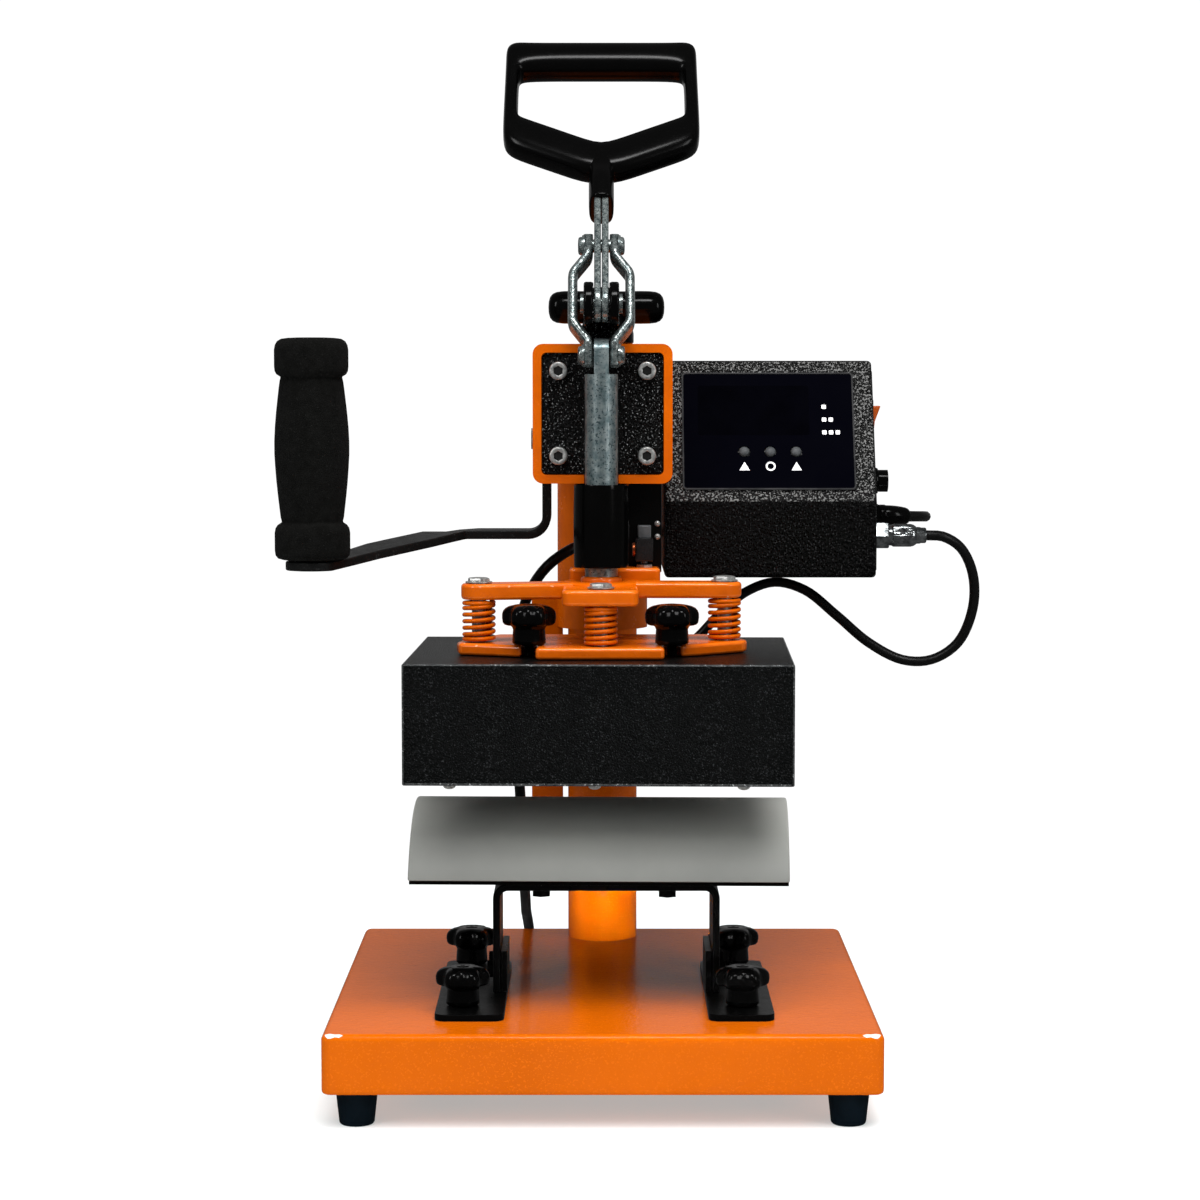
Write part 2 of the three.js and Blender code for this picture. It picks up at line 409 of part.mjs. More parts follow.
// plunger: round shaft with a flat tang
{
  const tang = prism(poly([[AX_Y - 8.5, 406], [AX_Y + 8.5, 406], [AX_Y + 8.5, 421], [AX_Y + 5.5, 425.4], [AX_Y, 427], [AX_Y - 5.5, 425.4], [AX_Y - 8.5, 421]]), 'x', AX_X - 4.15, AX_X + 4.15);
  add(root, 'plunger', union(cylZ(AX_X, AX_Y, 9.4, 290.3, 407, 28), cylZ(AX_X, AX_Y, 6, 276.5, 291, 20), tang), ZINC);
}

// ================================================================ press head
const SPRINGS = [['spring_left', -69.5, 100, 281], ['spring_right', 69, 114, 281], ['spring_front', -1, 76, 279.5]];
{
  let sp = union(prism(capsule(-69.5, 100, -0.7, 114, 10, 8), 'z', 281, 290), prism(capsule(-0.7, 116, 69, 114, 9.6, 8), 'z', 281, 290),
    prism(rounded(-22.5, 20, 65, 120, 5), 'z', 279.5, 288.5, 4), cylZ(AX_X, AX_Y, 23, 281, 290, 28), prism(rounded(-19, 33, 129, 146.5, 3), 'z', 281, 296.5, 4),
    cylZ(24, 141, 4.4, 296, 298, 6));
  sp = cut(sp, cylZ(AX_X, AX_Y, 6.4, 270, 300, 20));
  for (const [, x, y] of SPRINGS) sp = cut(sp, cylZ(x, y, 4.5, 270, 300, 14));
  add(root, 'spider', sp, ORANGE);
  for (const [name, x, y, zt] of SPRINGS) {
    const z0 = 257.3 + 1.3, z1 = zt - GAP - 1.3, turns = 6, per = 9, pts = [];
    for (let i = 0; i <= turns * per; i++) {
      const t = i / (turns * per), a = 2 * Math.PI * turns * t;
      pts.push([x + 8.2 * Math.cos(a), y + 8.2 * Math.sin(a), z0 + (z1 - z0) * t]);
    }
    add(root, name, tubeG(pts, 1.25, turns * per, 5), ORANGE);
  }
}
{
  const outline = poly([[-37, 62], [34, 62], [34.4, 84], [36.5, 87.4], [40.5, 87.4], [42.6, 84], [43.5, 80], [54.8, 86], [80, 107], [82, 112], [78, 128], [60, 150], [-60, 150],
    [-79, 118], [-82, 100], [-80.5, 91], [-45, 77], [-45, 84], [-43, 87.4], [-39, 87.4], [-36.8, 84]]);
  let fp = prism(outline, 'z', COVER_Z1 + GAP, 257);
  for (const [, x, y, zt] of SPRINGS) {
    const top = zt + 9 + GAP;
    fp = union(fp, cylZ(x, y, 4, 256, top + 1, 14), cylZ(x, y, 6.6, top, top + 4, 6));
  }
  add(root, 'float_plate', fp, ORANGE);
  for (const [name, x] of [['heater_knob_left', -40.9], ['heater_knob_right', 38.5]]) {
    add(root, name, starKnob(15, 9.4, 257.3, 268, 280, 3, 251.5), GLOSS).position.set(x, 79.5, 0);
  }
}
const heater = new THREE.Group();
heater.position.set(AX_X, AX_Y, 0);
heater.rotation.z = TURN_HEATER;
root.add(heater);
{
  const x0 = COVER_X0 - AX_X, x1 = COVER_X1 - AX_X, y0 = COVER_Y0 - AX_Y, y1 = COVER_Y1 - AX_Y;
  let cover = cut(prism(rounded(x0, x1, y0, y1, 2.5), 'z', COVER_Z0, COVER_Z1, 3), box(x0 + 2, x1 - 2, y0 + 2, y1 - 2, COVER_Z0 - 1, COVER_Z1 - 2),
    prism(disc(0, ARCH_Z, ARCH_R, 48), 'x', x0 - 5, x1 + 5));
  cover = cut(union(cover, cylY(36.5, 233, 6, y1 - 1, y1 + 7, 16)), cylY(36.5, 233, 3.4, y1 - 5, y1 + 12, 14));
  add(heater, 'heater_cover', cover, BLACK_COAT);
  let el = cut(prism(disc(0, ARCH_Z, ARCH_R + 12, 48), 'x', x0 + 3, x1 - 3), prism(disc(0, ARCH_Z, ARCH_R, 48), 'x', x0 - 5, x1 + 5), box(-120, 120, -100, 100, 40, COVER_Z0 + 1.5));
  el = cut(union(el, box(-70, -58, -28, 28, 222, COVER_Z1 - 2.4), box(58, 70, -28, 28, 222, COVER_Z1 - 2.4)), prism(disc(0, ARCH_Z, ARCH_R, 48), 'x', x0 - 5, x1 + 5));
  add(heater, 'heater_element', el, ALU);
}

export default root;
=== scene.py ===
import json
import math

import bmesh
import bpy
import numpy as np
from mathutils import Matrix, Vector

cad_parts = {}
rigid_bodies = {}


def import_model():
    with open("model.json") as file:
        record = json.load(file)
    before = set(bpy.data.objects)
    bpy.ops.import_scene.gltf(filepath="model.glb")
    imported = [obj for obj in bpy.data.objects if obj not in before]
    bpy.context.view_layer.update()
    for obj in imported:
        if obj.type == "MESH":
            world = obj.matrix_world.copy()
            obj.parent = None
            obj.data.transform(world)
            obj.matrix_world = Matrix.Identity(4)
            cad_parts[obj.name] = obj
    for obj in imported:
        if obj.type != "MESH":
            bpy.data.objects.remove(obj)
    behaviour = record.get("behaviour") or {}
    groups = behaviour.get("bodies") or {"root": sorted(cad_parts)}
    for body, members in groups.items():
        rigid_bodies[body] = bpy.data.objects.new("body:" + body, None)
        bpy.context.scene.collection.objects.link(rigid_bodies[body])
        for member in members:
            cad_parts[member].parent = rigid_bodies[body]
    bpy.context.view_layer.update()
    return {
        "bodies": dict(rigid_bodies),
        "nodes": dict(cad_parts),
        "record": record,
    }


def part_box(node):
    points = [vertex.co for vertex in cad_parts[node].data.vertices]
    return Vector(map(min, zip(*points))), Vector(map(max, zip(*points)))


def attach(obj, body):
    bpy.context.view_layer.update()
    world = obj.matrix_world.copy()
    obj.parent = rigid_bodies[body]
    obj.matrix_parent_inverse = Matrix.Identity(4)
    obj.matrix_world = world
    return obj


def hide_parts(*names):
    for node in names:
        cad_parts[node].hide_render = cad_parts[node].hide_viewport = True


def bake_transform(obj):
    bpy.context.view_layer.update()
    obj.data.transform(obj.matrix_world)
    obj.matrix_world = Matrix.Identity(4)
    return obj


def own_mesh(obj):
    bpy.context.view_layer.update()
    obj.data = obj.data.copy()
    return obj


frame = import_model()
NODES = frame["nodes"]
NODE_BODY = {n: b for b, ns in frame["record"]["behaviour"]["bodies"].items() for n in ns}
scene = bpy.context.scene

# Working millimetres (X right, Y from the base's front edge, z with the floor at 3) to the row frame in metres.
_lo, _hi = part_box("base_tray")
OX, OY = _lo.x + 0.151, _lo.y


def P(x, y, z):
    return Vector((OX + x / 1000, OY + y / 1000, (z - 3) / 1000))


TO_ROW = Matrix.Translation(P(0, 0, 0)) @ Matrix.Scale(0.001, 4)
AX, AY = -0.7, 117.0
I4 = Matrix.Identity(4)


def at(x, y, z, rx=0.0, ry=0.0, rz=0.0):
    return Matrix.Translation((x, y, z)) @ Matrix.Rotation(rz, 4, "Z") @ Matrix.Rotation(ry, 4, "Y") @ Matrix.Rotation(rx, 4, "X")


M_LEVER = at(AX, AY, 446.6, rx=-math.radians(38.6))
M_LINKS = at(AX, AY, 417.7, rx=-math.atan2(26.64, 62.27))
M_PANEL = at(0, 158, 333.5, rx=-math.atan2(40, 79.5))
M_PLATEN = at(AX, AY, 0, rz=math.radians(-1.6))
M_HEATER = at(AX, AY, 0, rz=math.radians(-1.4))

# ------------------------------------------------------------------ camera
cam_data = bpy.data.cameras.new("camera")
cam = bpy.data.objects.new("camera", cam_data)
scene.collection.objects.link(cam)
cam_data.sensor_width = 36.0
cam_data.lens = 90.0
cam_data.clip_start, cam_data.clip_end = 0.05, 60
cam.location = (OX - 0.00148, OY - 1.5804, 0.407)
cam.rotation_euler = (math.radians(90 - 4.405), 0, 0)
scene.camera = cam


# ------------------------------------------------------------------ materials
def node(nt, kind, **kw):
    n = nt.nodes.new(kind)
    for k, v in kw.items():
        if isinstance(v, (int, float, str, bool)) and hasattr(n, k) and k not in n.inputs:
            setattr(n, k, v)
        else:
            n.inputs[k].default_value = v
    return n


def lin(c):
    return c / 12.92 if c <= 0.04045 else ((c + 0.055) / 1.055) ** 2.4


def rgb(r, g, b):
    return (lin(r / 255), lin(g / 255), lin(b / 255), 1.0)


def scaled(c, k):
    return (min(c[0] * k, 1), min(c[1] * k, 1), min(c[2] * k, 1), 1.0)


def material(name, dark, light, rough, metal=0.0, blotch=35.0, rough_var=0.06, grain=900.0, bump=0.12, depth=0.0001,
             coat=0.0, coat_rough=0.1, specks=None, speck_scale=500.0, kind="noise", spec=0.5, wear=None, sheen=0.0, stretch=None, streaks=0.0):
    """Procedural finish: blotchy colour between dark and light, uneven roughness, grain as bump, optional bright
    specks, which on several finishes are painted glints of light, and worn edges.
    """
    m = bpy.data.materials.new(name)
    m.use_nodes = True
    nt = m.node_tree
    b = nt.nodes["Principled BSDF"]
    b.inputs["Metallic"].default_value = metal
    b.inputs["Specular IOR Level"].default_value = spec
    if coat:
        b.inputs["Coat Weight"].default_value = coat
        b.inputs["Coat Roughness"].default_value = coat_rough
    if sheen:
        b.inputs["Sheen Weight"].default_value = sheen
    tc = nt.nodes.new("ShaderNodeTexCoord")
    vec = tc.outputs["Object"]
    if stretch:
        mp = nt.nodes.new("ShaderNodeMapping")
        mp.inputs["Scale"].default_value = stretch
        nt.links.new(vec, mp.inputs["Vector"])
        vec = mp.outputs["Vector"]
    n1 = node(nt, "ShaderNodeTexNoise", Scale=blotch, Detail=4.0, Roughness=0.6)
    nt.links.new(vec, n1.inputs["Vector"])
    ramp = nt.nodes.new("ShaderNodeValToRGB")
    ramp.color_ramp.elements[0].position, ramp.color_ramp.elements[1].position = 0.32, 0.68
    ramp.color_ramp.elements[0].color, ramp.color_ramp.elements[1].color = dark, light
    nt.links.new(n1.outputs["Fac"], ramp.inputs["Fac"])
    col = ramp.outputs["Color"]
    if specks:
        v = node(nt, "ShaderNodeTexNoise", Scale=speck_scale, Detail=1.0)
        nt.links.new(tc.outputs["Object"], v.inputs["Vector"])
        mr = node(nt, "ShaderNodeMapRange", **{"From Min": specks[1], "From Max": specks[1] + 0.06})
        nt.links.new(v.outputs["Fac"], mr.inputs["Value"])
        mix = nt.nodes.new("ShaderNodeMix")
        mix.data_type = "RGBA"
        nt.links.new(mr.outputs["Result"], mix.inputs[0])
        nt.links.new(col, mix.inputs[6])
        mix.inputs[7].default_value = specks[0]
        col = mix.outputs[2]
    if wear:
        geo = nt.nodes.new("ShaderNodeNewGeometry")
        wn = node(nt, "ShaderNodeTexNoise", Scale=260.0, Detail=3.0)
        nt.links.new(tc.outputs["Object"], wn.inputs["Vector"])
        add = node(nt, "ShaderNodeMath", operation="MULTIPLY_ADD")
        nt.links.new(wn.outputs["Fac"], add.inputs[0])
        add.inputs[1].default_value = 0.10
        nt.links.new(geo.outputs["Pointiness"], add.inputs[2])
        mr = node(nt, "ShaderNodeMapRange", **{"From Min": wear[1], "From Max": wear[1] + 0.05})
        nt.links.new(add.outputs[0], mr.inputs["Value"])
        mix = nt.nodes.new("ShaderNodeMix")
        mix.data_type = "RGBA"
        nt.links.new(mr.outputs["Result"], mix.inputs[0])
        nt.links.new(col, mix.inputs[6])
        mix.inputs[7].default_value = wear[0]
        col = mix.outputs[2]
    nt.links.new(col, b.inputs["Base Color"])
    n2 = node(nt, "ShaderNodeTexNoise", Scale=blotch * 2.7, Detail=5.0, Roughness=0.65)
    nt.links.new(vec, n2.inputs["Vector"])
    mr = node(nt, "ShaderNodeMapRange", **{"To Min": max(rough - rough_var, 0.02), "To Max": rough + rough_var, "From Min": 0.3, "From Max": 0.7})
    nt.links.new(n2.outputs["Fac"], mr.inputs["Value"])
    nt.links.new(mr.outputs["Result"], b.inputs["Roughness"])
    if kind == "voronoi":
        g = node(nt, "ShaderNodeTexVoronoi", Scale=grain)
        out = g.outputs["Distance"]
    else:
        g = node(nt, "ShaderNodeTexNoise", Scale=grain, Detail=2.5, Roughness=0.55)
        out = g.outputs["Fac"]
    nt.links.new(vec, g.inputs["Vector"])
    bp = node(nt, "ShaderNodeBump", Strength=bump, Distance=depth)
    nt.links.new(out, bp.inputs["Height"])
    nt.links.new(bp.outputs["Normal"], b.inputs["Normal"])
    return m


MAT = {
    # orange_coat: its lighter orange specks are painted glints of light on the orange peel
    "orange": material("orange_coat", rgb(190, 86, 1), rgb(202, 93, 1), 0.20, rough_var=0.03, blotch=12, grain=300, bump=0.55, depth=0.0006, spec=0.11, coat=0.08, coat_rough=0.05, specks=(rgb(206, 98, 8), 0.60), speck_scale=900),
    "orange_gloss": material("orange_gloss", rgb(186, 80, 1), rgb(206, 92, 1), 0.24, rough_var=0.05, blotch=40, grain=340, bump=0.4, depth=0.0005, spec=0.15, coat=0.07, coat_rough=0.05),
    # black_wrinkle: its grey specks are painted glints of light on the wrinkles
    "black_wrinkle": material("black_wrinkle", rgb(1, 1, 1), rgb(2, 2, 2), 0.22, rough_var=0.02, grain=640, bump=1.0, depth=0.0018, blotch=300, spec=0.10, specks=(rgb(42, 42, 42), 0.63), speck_scale=1000),
    # lit copy of the black wrinkle finish for the control box's up-facing slope: lighter black and bright specks,
    # painted sheen and glints of light
    "wrinkle_slope_painted_sheen": material("wrinkle_slope_painted_sheen", rgb(5, 5, 5), rgb(9, 9, 9), 0.24, rough_var=0.02, grain=640, bump=1.0, depth=0.0018, blotch=300, spec=0.30, specks=(rgb(110, 110, 109), 0.545), speck_scale=900),
    # heater cover's black: its grey specks are painted glints of light
    "black_fine": material("black_fine", rgb(2, 3, 3), rgb(4, 5, 5), 0.32, rough_var=0.03, grain=1000, bump=1.0, depth=0.0010, blotch=200, spec=0.12, specks=(rgb(44, 46, 47), 0.625), speck_scale=1350),
    # clamp bracket's black: its bright specks are painted glints of light on the wrinkle
    "black_painted_glints": material("black_painted_glints", rgb(1, 1, 1), rgb(2, 2, 2), 0.20, rough_var=0.02, grain=700, bump=1.0, depth=0.0014, blotch=200, spec=0.14, specks=(rgb(124, 126, 126), 0.65), speck_scale=1050),
    "black_flat": material("black_flat", rgb(2, 2, 2), rgb(4, 4, 4), 0.32, grain=1200, bump=0.45, depth=0.0003, blotch=40, spec=0.14),
    "black_satin": material("black_satin", rgb(11, 12, 12), rgb(17, 17, 17), 0.44, grain=900, bump=0.6, depth=0.0005, blotch=60, spec=0.20, specks=(rgb(44, 45, 45), 0.66), speck_scale=800),
    "gloss": material("black_gloss", rgb(2, 2, 2), rgb(3, 3, 3), 0.14, rough_var=0.03, grain=300, bump=0.06, depth=0.0003, blotch=60, spec=0.15),
    "handle": material("handle_gloss", rgb(2, 2, 2), rgb(3, 3, 3), 0.19, rough_var=0.02, grain=160, bump=0.04, depth=0.0004, blotch=35, spec=0.17),
    "zinc": material("zinc", rgb(74, 86, 88), rgb(168, 176, 174), 0.27, metal=0.78, rough_var=0.10, blotch=420, grain=620, bump=0.35, depth=0.0003, kind="voronoi", specks=(rgb(70, 82, 84), 0.62), speck_scale=850),
    "steel": material("steel", rgb(88, 91, 93), rgb(176, 179, 180), 0.28, metal=1.0, rough_var=0.08, blotch=420, grain=1200, bump=0.15, depth=0.0001),
    "screw": material("screw_steel", rgb(150, 152, 152), rgb(244, 244, 240), 0.40, metal=0.85, rough_var=0.12, blotch=420, grain=1400, bump=0.15, depth=0.0001),
    # dark fill for the screw sockets: painted shade in the socket hollows
    "recess": material("socket_painted_shade", rgb(10, 10, 10), rgb(22, 22, 21), 0.6, blotch=500, grain=1500, bump=0.1, depth=0.0001, spec=0.3),
    "rubber": material("foot_rubber", rgb(4, 14, 21), rgb(8, 21, 30), 0.55, grain=1300, bump=0.25, depth=0.0002, blotch=60, spec=0.06),
    "foam": material("foam", rgb(9, 9, 8), rgb(15, 15, 14), 0.95, grain=1300, bump=1.0, depth=0.0008, blotch=200, sheen=0.01, spec=0.05, specks=(rgb(23, 23, 22), 0.66), speck_scale=900),
    "pad": material("grey_pad", rgb(176, 177, 172), rgb(188, 189, 183), 0.5, metal=0.0, rough_var=0.04, grain=1600, bump=0.10, depth=0.0001, blotch=14, spec=0.2),
    "pvc": material("cable_pvc", rgb(6, 6, 6), rgb(9, 9, 9), 0.36, grain=900, bump=0.12, depth=0.0002, blotch=70, spec=0.3),
    "film": material("panel_film", rgb(3, 3, 7), rgb(4, 4, 8), 0.14, rough_var=0.03, grain=1600, bump=0.03, depth=0.0001, blotch=40, spec=0.0),
    "film_edge": material("panel_edge", rgb(30, 30, 31), rgb(52, 52, 53), 0.4, grain=1600, bump=0.05, depth=0.0001, blotch=80, spec=0.03),
    "white": material("panel_marks", rgb(232, 232, 232), rgb(250, 250, 250), 0.5, grain=1600, bump=0.03, depth=0.00005, blotch=300),
    "button": material("button_grey", rgb(50, 52, 54), rgb(66, 68, 70), 0.45, grain=1400, bump=0.1, depth=0.0001, blotch=200, spec=0.3),
    "dark": material("dark_window", rgb(2, 2, 4), rgb(3, 3, 6), 0.12, rough_var=0.03, grain=1500, bump=0.03, depth=0.0001, blotch=60, spec=0.0),
    "alu": material("cast_aluminium", rgb(120, 122, 123), rgb(170, 172, 174), 0.42, metal=0.85, grain=500, bump=0.3, depth=0.0003, blotch=80),
    "board": material("board", rgb(20, 62, 36), rgb(28, 80, 46), 0.45, grain=240, bump=0.3, depth=0.0004, blotch=120),
    "rocker": material("rocker_orange", rgb(158, 66, 8), rgb(176, 76, 12), 0.3, grain=1200, bump=0.06, depth=0.0001, blotch=120),
    "grey": material("switch_grey", rgb(58, 60, 62), rgb(84, 86, 88), 0.42, grain=900, bump=0.15, depth=0.0002, blotch=120),
    "switch": material("switch_black", rgb(14, 14, 15), rgb(24, 24, 25), 0.3, grain=900, bump=0.12, depth=0.0002, blotch=150),
    "zinc_shaft": material("zinc_shaft", rgb(104, 124, 127), rgb(172, 184, 185), 0.36, metal=0.82, rough_var=0.10, blotch=240, grain=600, bump=0.25, depth=0.0002, specks=(rgb(74, 90, 94), 0.60), speck_scale=800),
    "copper": material("switch_coil", rgb(120, 58, 30), rgb(176, 92, 50), 0.35, metal=0.8, grain=900, bump=0.2, depth=0.0002, blotch=200),
    # lighter black with bright specks, for bevel faces and the heater cover's lip: painted edge highlight and glints
    "edge_black": material("black_edge_painted_highlight", rgb(26, 27, 28), rgb(66, 68, 68), 0.24, grain=900, bump=0.8, depth=0.0006, blotch=420, spec=0.4, specks=(rgb(130, 132, 132), 0.64), speck_scale=760),
    # lighter orange with pale specks, for bevel faces and the spider's hub weld: painted edge highlight and glints
    "edge_orange": material("orange_edge_painted_highlight", rgb(206, 90, 4), rgb(226, 108, 20), 0.20, grain=420, bump=0.25, depth=0.0003, blotch=90, spec=0.4, coat=0.35, coat_rough=0.05, specks=(rgb(246, 190, 150), 0.72), speck_scale=300),
    "chip": material("bare_corner", rgb(214, 206, 198), rgb(244, 238, 232), 0.35, grain=700, bump=0.4, depth=0.0003, blotch=300, spec=0.5),
    "connector": material("connector_metal", rgb(84, 90, 92), rgb(196, 200, 201), 0.20, metal=1.0, rough_var=0.06, blotch=260, grain=1200, bump=0.15, depth=0.0001),
    "brass": material("plug_blades", rgb(168, 146, 96), rgb(196, 172, 116), 0.3, metal=1.0, grain=900, bump=0.08, depth=0.0001, blotch=150),
}


# ------------------------------------------------------------------ modelling helpers
def smooth_group(angle):
    name = "smooth_by_angle_%d" % angle
    g = bpy.data.node_groups.get(name)
    if g:
        return g
    g = bpy.data.node_groups.new(name, "GeometryNodeTree")
    g.interface.new_socket("Geometry", in_out="INPUT", socket_type="NodeSocketGeometry")
    g.interface.new_socket("Geometry", in_out="OUTPUT", socket_type="NodeSocketGeometry")
    i, o = g.nodes.new("NodeGroupInput"), g.nodes.new("NodeGroupOutput")
    f = g.nodes.new("GeometryNodeSetShadeSmooth")
    f.domain = "FACE"
    e = g.nodes.new("GeometryNodeSetShadeSmooth")
    e.domain = "EDGE"
    e.inputs["Shade Smooth"].default_value = False
    a = g.nodes.new("GeometryNodeInputMeshEdgeAngle")
    c = g.nodes.new("ShaderNodeMath")
    c.operation = "GREATER_THAN"
    c.inputs[1].default_value = math.radians(angle)
    g.links.new(a.outputs["Unsigned Angle"], c.inputs[0])
    g.links.new(c.outputs[0], e.inputs["Selection"])
    g.links.new(i.outputs[0], f.inputs["Geometry"])
    g.links.new(f.outputs[0], e.inputs["Geometry"])
    g.links.new(e.outputs[0], o.inputs[0])
    return g


def shade(o, angle=38):
    """Smooth shading with sharp edges by angle, and flat faces kept flat."""
    if o.data.attributes.get("custom_normal"):
        o.data.attributes.remove(o.data.attributes["custom_normal"])
    o.data.polygons.foreach_set("use_smooth", [True] * len(o.data.polygons))
    m = o.modifiers.new("smooth", "NODES")
    m.node_group = smooth_group(angle)
    w = o.modifiers.new("weighted", "WEIGHTED_NORMAL")
    w.keep_sharp, w.weight = True, 60


def set_material(o, mat):
    o.data.materials.clear()
    o.data.materials.append(mat)


def dress(name, mat, bevel=0.5, segs=2, angle=32, shade_angle=38):
    """A CAD node that stays: its finish, its edges rounded as the real ones are, and smooth shading."""
    o = NODES[name]
    if o.data.attributes.get("custom_normal"):
        o.data.attributes.remove(o.data.attributes["custom_normal"])
    set_material(o, mat)
    w = o.modifiers.new("weld", "WELD")
    w.merge_threshold = 2e-5
    d = o.modifiers.new("planar", "DECIMATE")
    d.decimate_type, d.angle_limit = "DISSOLVE", math.radians(1.0)
    if bevel:
        b = o.modifiers.new("edges", "BEVEL")
        b.limit_method, b.angle_limit = "ANGLE", math.radians(angle)
        b.width, b.segments, b.use_clamp_overlap = bevel / 1000, segs, True
        b.miter_outer = "MITER_ARC"
    shade(o, shade_angle)
    return o


def make(name, verts, faces, mat, body, rep=(), M=I4, bevel=0, segs=2, angle=35, shade_angle=38, edge=None):
    me = bpy.data.meshes.new(name)
    T = TO_ROW @ M
    me.from_pydata([tuple(T @ Vector(v)) for v in verts], [], faces)
    me.update()
    bm = bmesh.new()
    bm.from_mesh(me)
    bmesh.ops.remove_doubles(bm, verts=bm.verts, dist=1e-6)
    bmesh.ops.recalc_face_normals(bm, faces=bm.faces)
    bm.to_mesh(me)
    bm.free()
    o = bpy.data.objects.new(name, me)
    scene.collection.objects.link(o)
    me.materials.append(mat)
    if edge:
        me.materials.append(edge)
    if bevel:
        b = o.modifiers.new("edges", "BEVEL")
        b.limit_method, b.angle_limit = "ANGLE", math.radians(angle)
        b.width, b.segments = bevel / 1000, segs
        # bevel faces take the second material, which on every piece that passes one is a lighter finish painted as edge
        # highlight
        if edge:
            b.material = 1
        b.miter_outer = "MITER_ARC"
    shade(o, shade_angle)
    if body:
        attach(o, body)
    if rep:
        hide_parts(*([rep] if isinstance(rep, str) else rep))
    return o


class Geo:
    """Vertices and faces in working millimetres, gathered from several shapes."""

    def __init__(self):
        self.v, self.f = [], []

    def add(self, v, f, M=I4):
        k = len(self.v)
        self.v += [tuple(M @ Vector(p)) for p in v]
        self.f += [tuple(i + k for i in q) for q in f]
        return self


def grid(rows, close_u=False, caps=True):
    """Skin over rows of points; each row is a closed ring."""
    n, m = len(rows), len(rows[0])
    v = [p for r in rows for p in r]
    f = []
    for i in range(n if close_u else n - 1):
        a, b = i * m, ((i + 1) % n) * m
        for j in range(m):
            k = (j + 1) % m
            f.append((a + j, a + k, b + k, b + j))
    if caps and not close_u:
        f.append(tuple(range(m - 1, -1, -1)))
        f.append(tuple((n - 1) * m + j for j in range(m)))
    return v, f


def lathe(profile, n=48, lobes=None):
    """Solid of revolution about z from (r, z) points; lobes scales the radius by angle."""
    rows = []
    for r, z in profile:
        ring = []
        for j in range(n):
            a = 2 * math.pi * j / n
            k = lobes(a, r, z) if lobes else 1.0
            ring.append((r * k * math.cos(a), r * k * math.sin(a), z))
        rows.append(ring)
    return grid(rows)


AXX = Matrix(((0, 0, 1, 0), (0, 1, 0, 0), (-1, 0, 0, 0), (0, 0, 0, 1)))      # lathe's z to +x
AXY = Matrix(((1, 0, 0, 0), (0, 0, 1, 0), (0, -1, 0, 0), (0, 0, 0, 1)))      # lathe's z to +y


def prism(outline, z0, z1, M=I4):
    n = len(outline)
    v = [(x, y, z0) for x, y in outline] + [(x, y, z1) for x, y in outline]
    f = [tuple(range(n - 1, -1, -1)), tuple(range(n, 2 * n))] + [(i, (i + 1) % n, n + (i + 1) % n, n + i) for i in range(n)]
    return v, f


def rrect(x0, x1, y0, y1, r, n=6):
    pts = []
    for cx, cy, a0 in ((x1 - r, y0 + r, -90), (x1 - r, y1 - r, 0), (x0 + r, y1 - r, 90), (x0 + r, y0 + r, 180)):
        for i in range(n + 1):
            a = math.radians(a0 + 90 * i / n)
            pts.append((cx + r * math.cos(a), cy + r * math.sin(a)))
    return pts


def catmull(points, step):
    """Points along a centripetal Catmull-Rom curve, about step apart."""
    p = [np.array(q, float) for q in points]
    p = [2 * p[0] - p[1]] + p + [2 * p[-1] - p[-2]]
    out = []
    for i in range(1, len(p) - 2):
        a, b, c, d = p[i - 1], p[i], p[i + 1], p[i + 2]
        t = [0.0]
        for u, w in ((a, b), (b, c), (c, d)):
            t.append(t[-1] + max(np.linalg.norm(w - u), 1e-9) ** 0.5)
        n = max(2, int(math.ceil(np.linalg.norm(c - b) / step)))
        for k in range(n):
            s = t[1] + (t[2] - t[1]) * k / n
            a1 = (t[1] - s) / (t[1] - t[0]) * a + (s - t[0]) / (t[1] - t[0]) * b
            a2 = (t[2] - s) / (t[2] - t[1]) * b + (s - t[1]) / (t[2] - t[1]) * c
            a3 = (t[3] - s) / (t[3] - t[2]) * c + (s - t[2]) / (t[3] - t[2]) * d
            b1 = (t[2] - s) / (t[2] - t[0]) * a1 + (s - t[0]) / (t[2] - t[0]) * a2
            b2 = (t[3] - s) / (t[3] - t[1]) * a2 + (s - t[1]) / (t[3] - t[1]) * a3
            out.append((t[2] - s) / (t[2] - t[1]) * b1 + (s - t[1]) / (t[2] - t[1]) * b2)
    out.append(p[-2])
    return out


def tube(path, radius, sides=12):
    """Round tube along a path with frames carried along it. radius is a number or a function of the arc length and the whole."""
    p = [np.array(q, float) for q in path]
    n = len(p)
    s = [0.0]
    for i in range(1, n):
        s.append(s[-1] + np.linalg.norm(p[i] - p[i - 1]))
    tang = [p[min(i + 1, n - 1)] - p[max(i - 1, 0)] for i in range(n)]
    tang = [t / np.linalg.norm(t) for t in tang]
    ref = np.array([0, 0, 1.0]) if abs(tang[0][2]) < 0.9 else np.array([1.0, 0, 0])
    u = np.cross(tang[0], ref)
    u /= np.linalg.norm(u)
    rows = []
    for i in range(n):
        u = u - tang[i] * (u @ tang[i])
        u /= np.linalg.norm(u)
        w = np.cross(tang[i], u)
        r = radius(s[i], s[-1]) if callable(radius) else radius
        rows.append([tuple(p[i] + r * (math.cos(2 * math.pi * j / sides) * u + math.sin(2 * math.pi * j / sides) * w)) for j in range(sides)])
    return grid(rows)


